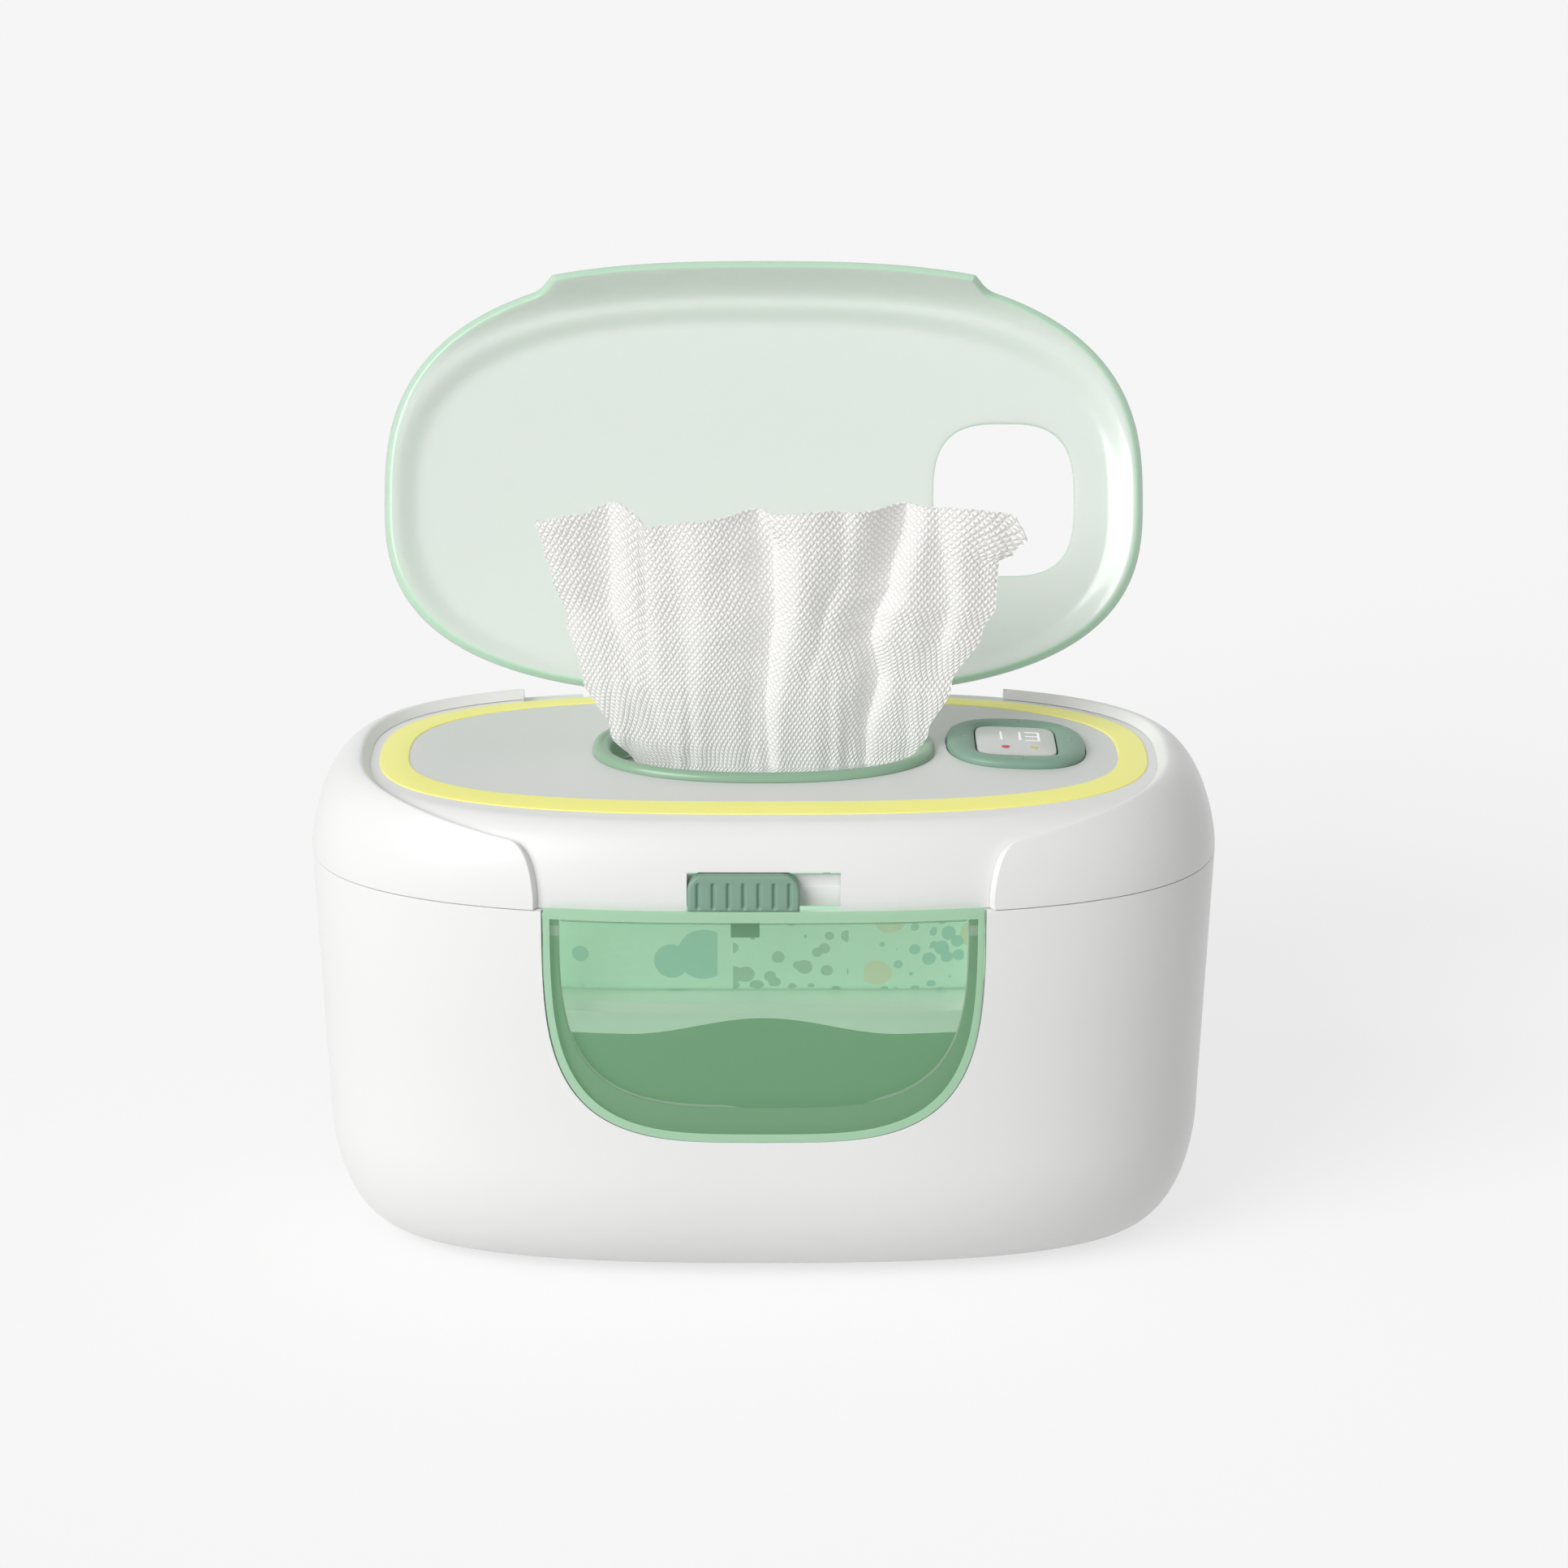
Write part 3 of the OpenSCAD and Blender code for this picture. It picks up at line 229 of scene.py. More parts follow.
def outside_recess(x, y, gap=0.0, back_gap=None):
    """Distance outside the recess of the lid, below 0 inside it; the tongue runs to the front."""
    a = 106.5 * MM - gap
    b = 65 * MM - gap if y < 0 else 58 * MM - (gap if back_gap is None else back_gap)
    n, r = sizes().plan, 8 * MM
    u, v = abs(x / a), abs(y / b)
    k = max(1e-6, (u ** n + v ** n) ** (1 / n))
    slope = math.hypot((u / k) ** (n - 1) / a, (v / k) ** (n - 1) / b)
    d1 = (k - 1) / max(slope, 1e-6)
    d2 = abs(x) - (57.3 * MM - gap)
    if y > 0:
        return d1
    if d1 < r and d2 < r:
        return r - math.hypot(r - d1, r - d2)
    return min(d1, d2)


def recess_way(turn, gap, back_gap=None, lowest=0.0):
    """How far up the cover the recess begins at this turn."""
    def out(way):
        p = cover_point(turn, way, 0)
        return outside_recess(p.x, p.y, gap, back_gap)
    lo, hi = lowest, 1.6
    if out(lo) <= 0:
        return lo
    for _ in range(40):
        mid = (lo + hi) / 2
        lo, hi = (mid, hi) if out(mid) > 0 else (lo, mid)
    return hi


def new_rings(bm, count, rings, close=False, lids=(False, False)):
    """Extrudes a circle through rings, each a function from a turn to a place, and an edge mask."""
    turn = bm.verts.layers.float.get("turn") or bm.verts.layers.float.new("turn")
    mask = bm.verts.layers.float.get("mask") or bm.verts.layers.float.new("mask")
    ring = bmesh.ops.create_circle(bm, segments=count, radius=1)["verts"]
    for v in ring:
        v[turn] = math.atan2(v.co.y, v.co.x) % math.tau
    inside = set(ring)
    loop = [e for e in bm.edges if e.verts[0] in inside and e.verts[1] in inside]
    ends = []
    rings = list(rings) + ([rings[0]] if close else [])
    for k, (where, edge) in enumerate(rings):
        if k:
            made = bmesh.ops.extrude_edge_only(bm, edges=loop)["geom"]
            ring = [g for g in made if isinstance(g, bmesh.types.BMVert)]
            inside = set(ring)
            loop = [g for g in made if isinstance(g, bmesh.types.BMEdge)
                    and g.verts[0] in inside and g.verts[1] in inside]
        for v in ring:
            v.co = where(v[turn])
            v[mask] = edge
        if k in (0, len(rings) - 1):
            ends.append(loop)
    for wanted, loop in zip(lids, ends):
        if wanted:
            bmesh.ops.contextual_create(bm, geom=loop)
    bmesh.ops.remove_doubles(bm, verts=bm.verts, dist=2e-6)


def rod(bm, start, end, radius, segments=32, bevel=0.0):
    """Round bar between two points, with a small bevel on its ends."""
    start, end = Vector(start), Vector(end)
    way = end - start
    made = bmesh.ops.create_cone(
        bm, cap_ends=True, segments=segments, radius1=radius, radius2=radius, depth=way.length,
        matrix=Matrix.Translation((start + end) / 2) @ way.to_track_quat("Z", "Y").to_matrix().to_4x4())
    if bevel:
        rims = {e for v in made["verts"] for e in v.link_edges
                if any(len(f.verts) > 4 for f in e.link_faces)}
        bmesh.ops.bevel(bm, geom=list(rims), offset=bevel, affect="EDGES", segments=2, profile=0.5,
                        material=-1)


def bevel_rim(bm, steepest, offset):
    """Bevels the edges that turn by more than an angle."""
    rim = [e for e in bm.edges if len(e.link_faces) == 2 and e.calc_face_angle(0) > steepest]
    bmesh.ops.bevel(bm, geom=rim, offset=offset, affect="EDGES", segments=2, profile=0.5, material=-1)


def block(bm, low, high, bevel=0.0, segments=2):
    """Block between two corners with bevelled edges."""
    low, high = Vector(low), Vector(high)
    made = bmesh.ops.create_cube(bm, size=1, matrix=Matrix.Translation((low + high) / 2)
                                 @ Matrix.Diagonal((*(high - low), 1)))
    if bevel:
        edges = {e for v in made["verts"] for e in v.link_edges}
        bmesh.ops.bevel(bm, geom=list(edges), offset=bevel, affect="EDGES", segments=segments,
                        profile=0.5, material=-1)
    return made["verts"]


def make(name, bm, look, body, nodes=(), angle=35):
    """Turns a bmesh into a piece with a finish, which rides on a body and stands for CAD nodes."""
    finish_made = material(look)
    bmesh.ops.recalc_face_normals(bm, faces=bm.faces)
    mesh = bpy.data.meshes.new(name)
    bm.to_mesh(mesh)
    bm.free()
    piece = bpy.data.objects.new(name, mesh)
    bpy.context.scene.collection.objects.link(piece)
    shade(piece, angle)
    piece.data.materials.append(finish_made)
    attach(piece, body)
    if nodes:
        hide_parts(*nodes)
    return piece


def shade(piece, angle=35):
    for face in piece.data.polygons:
        face.use_smooth = True
    piece.data.set_sharp_from_angle(angle=math.radians(angle))


def bake_modifiers(piece):
    """Applies what the modifiers make."""
    bpy.context.view_layer.update()
    done = bpy.data.meshes.new_from_object(piece.evaluated_get(bpy.context.evaluated_depsgraph_get()))
    piece.modifiers.clear()
    piece.data = done


def cut(piece, bm, angle=35):
    """Cuts a closed bmesh out of a piece."""
    bmesh.ops.recalc_face_normals(bm, faces=bm.faces)
    mesh = bpy.data.meshes.new("cutter")
    bm.to_mesh(mesh)
    bm.free()
    tool = bpy.data.objects.new("cutter", mesh)
    bpy.context.scene.collection.objects.link(tool)
    step = piece.modifiers.new("cut", "BOOLEAN")
    step.operation, step.solver, step.object = "DIFFERENCE", "EXACT", tool
    bake_modifiers(piece)
    bpy.data.objects.remove(tool)
    work = bmesh.new()
    work.from_mesh(piece.data)
    bmesh.ops.remove_doubles(work, verts=work.verts, dist=2e-5)
    bmesh.ops.dissolve_degenerate(work, edges=work.edges, dist=1e-5)
    work.to_mesh(piece.data)
    work.free()
    shade(piece, angle)


def outline_prism(bm, place, count, low, high, across="Z"):
    """Closed prism over an outline; place gives two coordinates for a turn."""
    def at(level):
        def where(turn):
            p, q = place(turn)
            return Vector((p, q, level)) if across == "Z" else Vector((p, level, q))
        return where
    new_rings(bm, count, [(at(low), 0), (at(high), 0)], lids=(True, True))


def cut_block(piece, low, high, angle=35):
    """Cuts a block between two corners out of a piece."""
    room = bmesh.new()
    block(room, low, high)
    cut(piece, room, angle)


def cut_prism(piece, place, count, low, high, across="Z", angle=35):
    """Cuts a prism over an outline out of a piece."""
    hole = bmesh.new()
    outline_prism(hole, place, count, low, high, across)
    cut(piece, hole, angle)


def cut_hinge_room(piece):
    """Room at the back of the cover for the lid's barrel and its cradle."""
    cut_block(piece, (-0.05, 0.0548, 0.1216), (0.05, 0.1, 0.17), 30)
    cut_block(piece, (-0.066, 0.0464, 0.1282), (0.066, 0.1, 0.15), 30)


# Materials

def group(name, inputs, outputs, build):
    """Shader node group with named sockets, made once."""
    made = bpy.data.node_groups.get(name)
    if made:
        return made
    made = bpy.data.node_groups.new(name, "ShaderNodeTree")
    for label, kind, value in inputs:
        socket = made.interface.new_socket(label, in_out="INPUT", socket_type=kind)
        if value is not None:
            socket.default_value = value
    for label, kind in outputs:
        made.interface.new_socket(label, in_out="OUTPUT", socket_type=kind)
    start, end = made.nodes.new("NodeGroupInput"), made.nodes.new("NodeGroupOutput")
    build(made, start, end)
    return made


def node(tree, kind, links=(), **values):
    """Adds a node; values are its settings or inputs, links its incoming sockets."""
    made = tree.nodes.new("ShaderNode" + kind)
    for key, value in values.items():
        if hasattr(made, key):
            setattr(made, key, value)
        else:
            made.inputs[key.replace("_", " ")].default_value = value
    for socket, source in links:
        tree.links.new(source, made.inputs[socket])
    return made


def math_node(tree, operation, *parts):
    made = tree.nodes.new("ShaderNodeMath")
    made.operation = operation
    for k, part in enumerate(parts):
        if isinstance(part, (int, float)):
            made.inputs[k].default_value = part
        else:
            tree.links.new(part, made.inputs[k])
    return made.outputs[0]


def mix(tree, factor, first, second, blend="MIX"):
    """Colour mix; each part is a socket or a colour."""
    made = tree.nodes.new("ShaderNodeMix")
    made.data_type, made.blend_type = "RGBA", blend
    for socket, part in ((made.inputs[0], factor), (made.inputs[6], first), (made.inputs[7], second)):
        if hasattr(part, "is_output"):
            tree.links.new(part, socket)
        elif hasattr(part, "__len__"):
            socket.default_value = (*part[:3], 1)
        else:
            socket.default_value = part
    return made.outputs[2]


def ramp(tree, source, *stops):
    """Smooth step through (place, value) stops."""
    made = tree.nodes.new("ShaderNodeValToRGB")
    made.color_ramp.interpolation = "EASE"
    spots = made.color_ramp.elements
    while len(spots) < len(stops):
        spots.new(0.5)
    for spot, (place, value) in zip(spots, stops):
        spot.position, spot.color = place, (value, value, value, 1)
    tree.links.new(source, made.inputs[0])
    return made.outputs[0]


def grain_group():
    """Fine moulded grain: a mottled colour, an uneven roughness and a height for the bump."""
    def build(t, start, end):
        place = node(t, "TexCoord").outputs["Object"]
        fine = node(t, "TexNoise", [("Vector", place), ("Scale", start.outputs["Scale"])], Detail=3.0)
        wide = node(t, "TexNoise", [("Vector", place)], Scale=28.0, Detail=2.0)
        spread = math_node(t, "MULTIPLY", math_node(t, "SUBTRACT", wide.outputs[0], 0.5),
                           start.outputs["Mottle"])
        shift = math_node(t, "ADD", 1.0, spread)
        tint = t.nodes.new("ShaderNodeVectorMath")
        tint.operation = "SCALE"
        t.links.new(start.outputs["Color"], tint.inputs[0])
        t.links.new(shift, tint.inputs["Scale"])
        t.links.new(tint.outputs[0], end.inputs["Color"])
        rough = math_node(t, "ADD", start.outputs["Roughness"], math_node(
            t, "MULTIPLY", math_node(t, "SUBTRACT", fine.outputs[0], 0.5), 0.12))
        t.links.new(rough, end.inputs["Roughness"])
        t.links.new(fine.outputs[0], end.inputs["Height"])
    return group("moulded_grain", [("Color", "NodeSocketColor", (0.8, 0.8, 0.8, 1)),
                                   ("Roughness", "NodeSocketFloat", 0.4),
                                   ("Scale", "NodeSocketFloat", 900.0),
                                   ("Mottle", "NodeSocketFloat", 0.03)],
                 [("Color", "NodeSocketColor"), ("Roughness", "NodeSocketFloat"),
                  ("Height", "NodeSocketFloat")], build)


def finish(name, color, roughness=0.4, scale=900.0, bump=0.02, mottle=0.03, colour_at=None, **plain):
    """Moulded or metal finish; colour_at may build its own colour socket, plain sets shader sockets."""
    made = bpy.data.materials.new(name)
    made.use_nodes = True
    t = made.node_tree
    shader = t.nodes["Principled BSDF"]
    grain = t.nodes.new("ShaderNodeGroup")
    grain.node_tree = grain_group()
    grain.inputs["Roughness"].default_value = roughness
    grain.inputs["Scale"].default_value = scale
    grain.inputs["Mottle"].default_value = mottle
    grain.inputs["Color"].default_value = (*color[:3], 1)
    if colour_at:
        t.links.new(colour_at(t), grain.inputs["Color"])
    t.links.new(grain.outputs["Color"], shader.inputs["Base Color"])
    t.links.new(grain.outputs["Roughness"], shader.inputs["Roughness"])
    if bump:
        lift = node(t, "Bump", [("Height", grain.outputs["Height"])], Strength=bump, Distance=0.0005)
        t.links.new(lift.outputs[0], shader.inputs["Normal"])
    for key, value in plain.items():
        shader.inputs[key.replace("_", " ")].default_value = value
    return made


def object_xyz(t):
    split = node(t, "SeparateXYZ", [("Vector", node(t, "TexCoord").outputs["Object"])])
    return split.outputs[0], split.outputs[1], split.outputs[2]


def attribute(t, name):
    made = t.nodes.new("ShaderNodeAttribute")
    made.attribute_name = name
    return made.outputs["Fac"]


def super_mask(t, x, y, a, b, n):
    """Relative distance from the middle of a superellipse, 1 on its outline."""
    parts = [math_node(t, "POWER", math_node(t, "ABSOLUTE", math_node(t, "DIVIDE", v, h)), n)
             for v, h in ((x, a), (y, b))]
    return math_node(t, "POWER", math_node(t, "ADD", *parts), 1 / n)


def deck_colour(t):
    """Grey inside the light ring, near white outside it."""
    x, y, _ = object_xyz(t)
    away = super_mask(t, x, y, 98 * MM, 48.2 * MM, 2.7)
    return mix(t, math_node(t, "GREATER_THAN", away, 1.0), colours().deck, colours().border)


def lid_colour(t):
    """Pale green that gathers to a stronger green in the edges and round the opening for the keys."""
    closed = t.nodes.new("ShaderNodeAttribute")
    closed.attribute_name = "closed"
    split = node(t, "SeparateXYZ", [("Vector", closed.outputs["Vector"])])
    x = math_node(t, "SUBTRACT", split.outputs[0], 67 * MM)
    y = math_node(t, "ADD", split.outputs[1], 0.5 * MM)
    hole = ramp(t, super_mask(t, x, y, 20.0 * MM, 21.8 * MM, 3), (0.93, 1.0), (0.99, 0.75), (1.02, 0.0))
    rim = math_node(t, "MAXIMUM", attribute(t, "mask"), hole)
    return mix(t, rim, colours().lid, colours().lid_edge)


def dots(t, place, scale, size, low, high, x):
    """Round dots of uneven size in a band of x."""
    cells = node(t, "TexVoronoi", [("Vector", place)], Scale=scale, Randomness=0.7)
    uneven = node(t, "TexNoise", [("Vector", place)], Scale=scale * 0.4, Detail=0.0)
    reach = math_node(t, "MULTIPLY", uneven.outputs[0], size)
    inside = math_node(t, "LESS_THAN", cells.outputs["Distance"], reach)
    band = math_node(t, "MULTIPLY", math_node(t, "GREATER_THAN", x, low),
                     math_node(t, "LESS_THAN", x, high))
    return math_node(t, "MULTIPLY", inside, band)


def film_colour(t):
    """Pack film: pale ground, a soft lower band and loose groups of bubbles in three colours."""
    x, _, z = object_xyz(t)
    place = node(t, "TexCoord").outputs["Object"]
    rise = math_node(t, "MULTIPLY", math_node(t, "SUBTRACT", z, 0.079), 25.0)
    ground = mix(t, 0.8, mix(t, ramp(t, rise, (0.0, 0.0), (0.55, 1.0)), colours().ink, colours().film),
                 colours().film)
    low = math_node(t, "LESS_THAN", z, 0.1145)
    for tint, scale, size, start, end in ((colours().ink, 60.0, 0.62, -0.052, -0.012),
                                          (colours().leaf, 190.0, 0.7, -0.008, 0.022),
                                          (colours().sand, 75.0, 0.66, 0.026, 0.06),
                                          (colours().ink, 240.0, 0.55, 0.03, 0.052)):
        spots = math_node(t, "MULTIPLY", low, dots(t, place, scale, size, start, end, x))
        ground = mix(t, spots, ground, tint)
    return ground


def cloth_finish():
    """Nonwoven cloth with rows of pressed pearls and short fibres, with painted shade in the gaps
    between the pearls and a painted glow in place of light through the cloth.
    """
    made = bpy.data.materials.new("wipe_cloth")
    made.use_nodes = True
    t = made.node_tree
    shader = t.nodes["Principled BSDF"]
    uv = node(t, "UVMap", uv_map="cloth")
    step = sizes().pearl
    split = node(t, "SeparateXYZ", [("Vector", uv.outputs[0])])
    waves = []
    for p, q in ((1, 1), (1, -1)):
        slant = math_node(t, "ADD", math_node(t, "MULTIPLY", split.outputs[0], p * math.pi / step),
                          math_node(t, "MULTIPLY", split.outputs[1], q * math.pi / step))
        waves.append(math_node(t, "COSINE", slant))
    pearls = math_node(t, "MULTIPLY", *waves)
    pearls = math_node(t, "POWER", math_node(t, "ABSOLUTE", pearls), 0.8)
    fibre = node(t, "TexNoise", [("Vector", uv.outputs[0])], Scale=1400.0, Detail=4.0)
    height = math_node(t, "ADD", pearls, math_node(t, "MULTIPLY", fibre.outputs[0], 0.35))
    lift = node(t, "Bump", [("Height", height)], Strength=0.75, Distance=0.0006)
    t.links.new(lift.outputs[0], shader.inputs["Normal"])
    # Painted shade: a darker copy of the cloth's colour fills the gaps between the pearls
    dark = [c * 0.84 for c in colours().cloth]
    tint = mix(t, pearls, dark, colours().cloth)
    t.links.new(tint, shader.inputs["Base Color"])
    # Painted light: the wipe glows in its own colour in place of light shining through the thin cloth
    # from behind
    t.links.new(tint, shader.inputs["Emission Color"])
    shader.inputs["Emission Strength"].default_value = 0.17
    shader.inputs["Roughness"].default_value = 0.85
    shader.inputs["Sheen Weight"].default_value = 0.15
    shader.inputs["Subsurface Weight"].default_value = 0.1
    shader.inputs["Subsurface Radius"].default_value = (0.002, 0.002, 0.002)
    return made


def window_edge(t):
    """1 in the window's outer band and 0 inside it, from the window's outline in the front view."""
    x, _, z = object_xyz(t)
    seam = sizes().seam
    down = math_node(t, "SUBTRACT", seam, z)
    away = super_mask(t, x, down, WINDOW_A, WINDOW_B, WINDOW_PLAN)
    band = math_node(t, "GREATER_THAN", away, 0.962)
    top = math_node(t, "LESS_THAN", down, 1.9 * MM)
    return math_node(t, "MAXIMUM", band, top)


def window_finish():
    """Green tinted window, lighter and denser along its edge."""
    def tone(t):
        return mix(t, window_edge(t), colours().window, colours().window_edge)
    made = finish("window_green", colours().window, 0.1, bump=0.0, mottle=0.0, colour_at=tone)
    t = made.node_tree
    shader = t.nodes["Principled BSDF"]
    density = math_node(t, "ADD", 0.3, math_node(t, "MULTIPLY", window_edge(t), 0.45))
    t.links.new(density, shader.inputs["Alpha"])
    return made


def glow_finish():
    """Diffusing yellow ring that is lit from below."""
    made = finish("ring_yellow", colours().glow, 0.35, mottle=0.01)
    shader = made.node_tree.nodes["Principled BSDF"]
    shader.inputs["Emission Color"].default_value = (*colours().glow[:3], 1)
    shader.inputs["Emission Strength"].default_value = 0.12
    return made


def painted_window_light(made, strength, least):
    """Painted light in place of the light that comes in through the window: a glow on the faces that
    look at the window, and less on the others.
    """
    t = made.node_tree
    facing = node(t, "SeparateXYZ", [("Vector", node(t, "TexCoord").outputs["Normal"])])
    level = math_node(t, "MAXIMUM", math_node(t, "MULTIPLY", facing.outputs[1], -strength), least)
    t.links.new(level, t.nodes["Principled BSDF"].inputs["Emission Strength"])
    return made


def seen_directly(t):
    """1 for what the camera, a reflection or a clear part sees."""
    path = node(t, "LightPath")
    return math_node(t, "MAXIMUM", path.outputs["Is Camera Ray"], math_node(
        t, "MAXIMUM", path.outputs["Is Glossy Ray"], path.outputs["Is Transmission Ray"]))


def floor_finish():
    """Pale floor that keeps the object's shadow."""
    made = bpy.data.materials.new("floor_pale")
    made.use_nodes = True
    t = made.node_tree
    t.nodes.remove(t.nodes["Principled BSDF"])
    matt, lit, both = t.nodes.new("ShaderNodeBsdfDiffuse"), t.nodes.new("ShaderNodeEmission"), \
        t.nodes.new("ShaderNodeMixShader")
    seen = seen_directly(t)
    t.links.new(mix(t, seen, (0.75, 0.75, 0.75), (0.95, 0.95, 0.95)), matt.inputs["Color"])
    lit.inputs["Color"].default_value = (1, 1, 1, 1)
    lit.inputs["Strength"].default_value = 1.03
    t.links.new(math_node(t, "MULTIPLY", seen, FLOOR_LIT), both.inputs[0])
    t.links.new(matt.outputs[0], both.inputs[1])
    t.links.new(lit.outputs[0], both.inputs[2])
    t.links.new(both.outputs[0], t.nodes["Material Output"].inputs[0])
    return made


_finishes = {}


def material(name):
    """The finish of that name, made at its first use."""
    if name in _finishes:
        return _finishes[name]
    c = colours()
    makers = {
        "body_white": lambda: finish(name, c.body, 0.34, 1400.0, 0.015, 0.012, Coat_Weight=0.12),
        "deck_grey": lambda: finish(name, c.deck, 0.38, 1600.0, 0.03, 0.012, colour_at=deck_colour),
        "plain_grey": lambda: finish(name, c.deck, 0.45, 1200.0, 0.04),
        "lid_pale_green": lambda: finish(name, c.lid, 0.22, 700.0, 0.01, 0.02, colour_at=lid_colour,
                                         Coat_Weight=0.15, Subsurface_Weight=0.7,
                                         Subsurface_Radius=(0.006, 0.007, 0.006), Subsurface_Scale=1.0),
        "window_green": window_finish,
        "sage_green": lambda: finish(name, c.sage, 0.42, 1500.0, 0.05, 0.03),
        "lip_green": lambda: finish(name, c.lip, 0.3, 1200.0, 0.02, 0.03, Coat_Weight=0.2),
        "ring_yellow": glow_finish,
        # bin_white carries painted light: a glow, strongest on faces towards the window, in place of
        # light coming in through the window
        "bin_white": lambda: painted_window_light(finish(name, c.bin, 0.45, 1100.0, 0.04, 0.03,
                                               Emission_Color=(*c.bin, 1)), 0.36, 0.22),
        # guard_green carries painted light: an even glow in place of light coming in through the window
        "guard_green": lambda: finish(name, c.guard, 0.4, 1000.0, 0.04, 0.04,
                                      Emission_Color=(*c.guard, 1), Emission_Strength=0.2),
        "lens_grey": lambda: finish(name, c.screen, 0.12, 600.0, 0.0, 0.01, Coat_Weight=0.5),
        "seal_silicone": lambda: finish(name, paint(216, 220, 215), 0.6, 800.0, 0.06, 0.04),
        "seal_pale": lambda: finish(name, paint(166, 200, 170), 0.6, 800.0, 0.05, 0.05),
        "foot_rubber": lambda: finish(name, paint(84, 86, 84), 0.8, 700.0, 0.12, 0.1),
        "steel": lambda: finish(name, paint(196, 198, 202), 0.3, 2400.0, 0.02, 0.06, Metallic=1.0),
        "aluminium": lambda: finish(name, paint(202, 204, 206), 0.4, 1500.0, 0.03, 0.06, Metallic=1.0),
        "film_amber": lambda: finish(name, paint(196, 128, 56), 0.25, 500.0, 0.02, 0.1),
        "foam": lambda: finish(name, paint(232, 226, 206), 0.95, 500.0, 0.4, 0.1),
        "board_green": lambda: finish(name, paint(30, 96, 54), 0.3, 300.0, 0.05, 0.2),
        "part_black": lambda: finish(name, paint(40, 40, 42), 0.45, 900.0, 0.05, 0.1),
        "ceramic_tan": lambda: finish(name, paint(196, 188, 172), 0.6, 900.0, 0.08, 0.06),
        "led_white": lambda: finish(name, paint(244, 243, 236), 0.4, 900.0, 0.02, 0.03),
        # pack_film carries painted light: a glow, strongest on faces towards the window, in place of
        # light coming in through the window
        "pack_film": lambda: painted_window_light(finish(name, c.film, 0.28, 160.0, 0.35, 0.02,
                                               colour_at=film_colour, Coat_Weight=0.4,
                                               Emission_Color=(*c.film, 1)), 0.46, 0.06),
        "wipe_cloth": cloth_finish,
        "icon_pale": lambda: finish(name, paint(222, 232, 225), 0.4, 900.0, 0.0, 0.0),
        "digit_white": lambda: finish(name, paint(250, 250, 250), 0.4, 900.0, 0.0, 0.0,
                                      Emission_Color=(1, 1, 1, 1), Emission_Strength=0.15),
        "mark_red": lambda: finish(name, paint(214, 40, 44), 0.4, 900.0, 0.0, 0.02),
        "mark_yellow": lambda: finish(name, paint(226, 214, 140), 0.4, 900.0, 0.0, 0.02),
    }
    _finishes[name] = makers[name]()
    return _finishes[name]


# Operators

class WARMER_OT_body(bpy.types.Operator):
    """Body shell: lower bend, drafted wall, window opening, hinge knuckles and inlet mouth"""
    bl_idname = "warmer.body"
    bl_label = "Body shell"

    def execute(self, context):
        s = sizes()
        bm = bmesh.new()
        rows = [k / 14 for k in range(15)] + [1.5, 1.992]

        def outer(bend):
            return lambda turn: body_point(turn, 0, bend)

        def rim(depth, z):
            def where(turn):
                p = body_point(turn, depth, 2)
                return Vector((p.x, p.y, z))
            return where
        plug_a, plug_b = s.half_w - s.draft - s.bend_x - 7 * MM, s.half_d - s.draft - s.bend_y - 7 * MM

        def flat(a, b, z):
            return lambda turn: Vector((*super_point(a, b, s.plan, turn), z))

        def inner(bend):
            def where(turn):
                p = body_point(turn, s.wall, bend)
                return Vector((p.x, p.y, max(p.z, s.foot + 4 * MM)))
            return where
        rings = [(outer(b), 0) for b in rows]
        rings += [(rim(0.12 * MM, s.seam - 0.06 * MM), 0), (rim(0.35 * MM, s.seam), 0)]
        rings += [(rim(s.wall, s.seam), 0)] + [(inner(b), 0) for b in (1.9, 1.5, 1, .8, .6, .4, .2, 0)]
        low = s.foot + 2 * MM
        rings += [(flat(plug_a - 11 * MM, plug_b - 10 * MM, low + 2 * MM), 0),
                  (flat(plug_a - 11 * MM, plug_b - 10 * MM, low), 0), (flat(plug_a, plug_b, low), 0),
                  (flat(plug_a, plug_b, s.foot), 0)]
        new_rings(bm, 288, rings, close=True)
        body = make("body_wall", bm, "body_white", "base", ["body_shell"])
        # Opening behind the window, and the seat that the window lies in
        cut_prism(body, lambda turn: window_outline(turn, 4.5, 9.5, 2 * MM), 160, -0.09, -0.02, "Y")
        seat = bmesh.new()

        def seat_at(depth):
            def where(turn):
                x, z = window_outline(turn, 0, 0, 2 * MM)
                return Vector((x, wall_y(x, min(z, s.seam), depth), z))
            return where
        new_rings(seat, 160, [(seat_at(-3 * MM), 0), (seat_at(1.9 * MM), 0)], lids=(True, True))
        cut(body, seat)
        inlet = bmesh.new()
        rod(inlet, (-0.04, 0.05, 0.023), (-0.04, 0.08, 0.023), 5.2 * MM, 48)
        cut(body, inlet)
        add_knuckles("base", "body_knuckles", -1)
        # Ledge that carries the bin's rim
        ledge = bmesh.new()
        new_rings(ledge, 160, [(flat(118.2 * MM, 65.2 * MM, 101 * MM), 0),
                               (flat(118.2 * MM, 65.2 * MM, 103.8 * MM), 0),
                               (flat(113.8 * MM, 60.4 * MM, 103.8 * MM), 0),
                               (flat(113.8 * MM, 60.4 * MM, 101 * MM), 0)], close=True)
        ledge = make("bin_ledge", ledge, "body_white", "base")
        cut_block(ledge, (-0.0525, -0.09, 0.09), (0.0525, -0.02, 0.12))
        return {"FINISHED"}


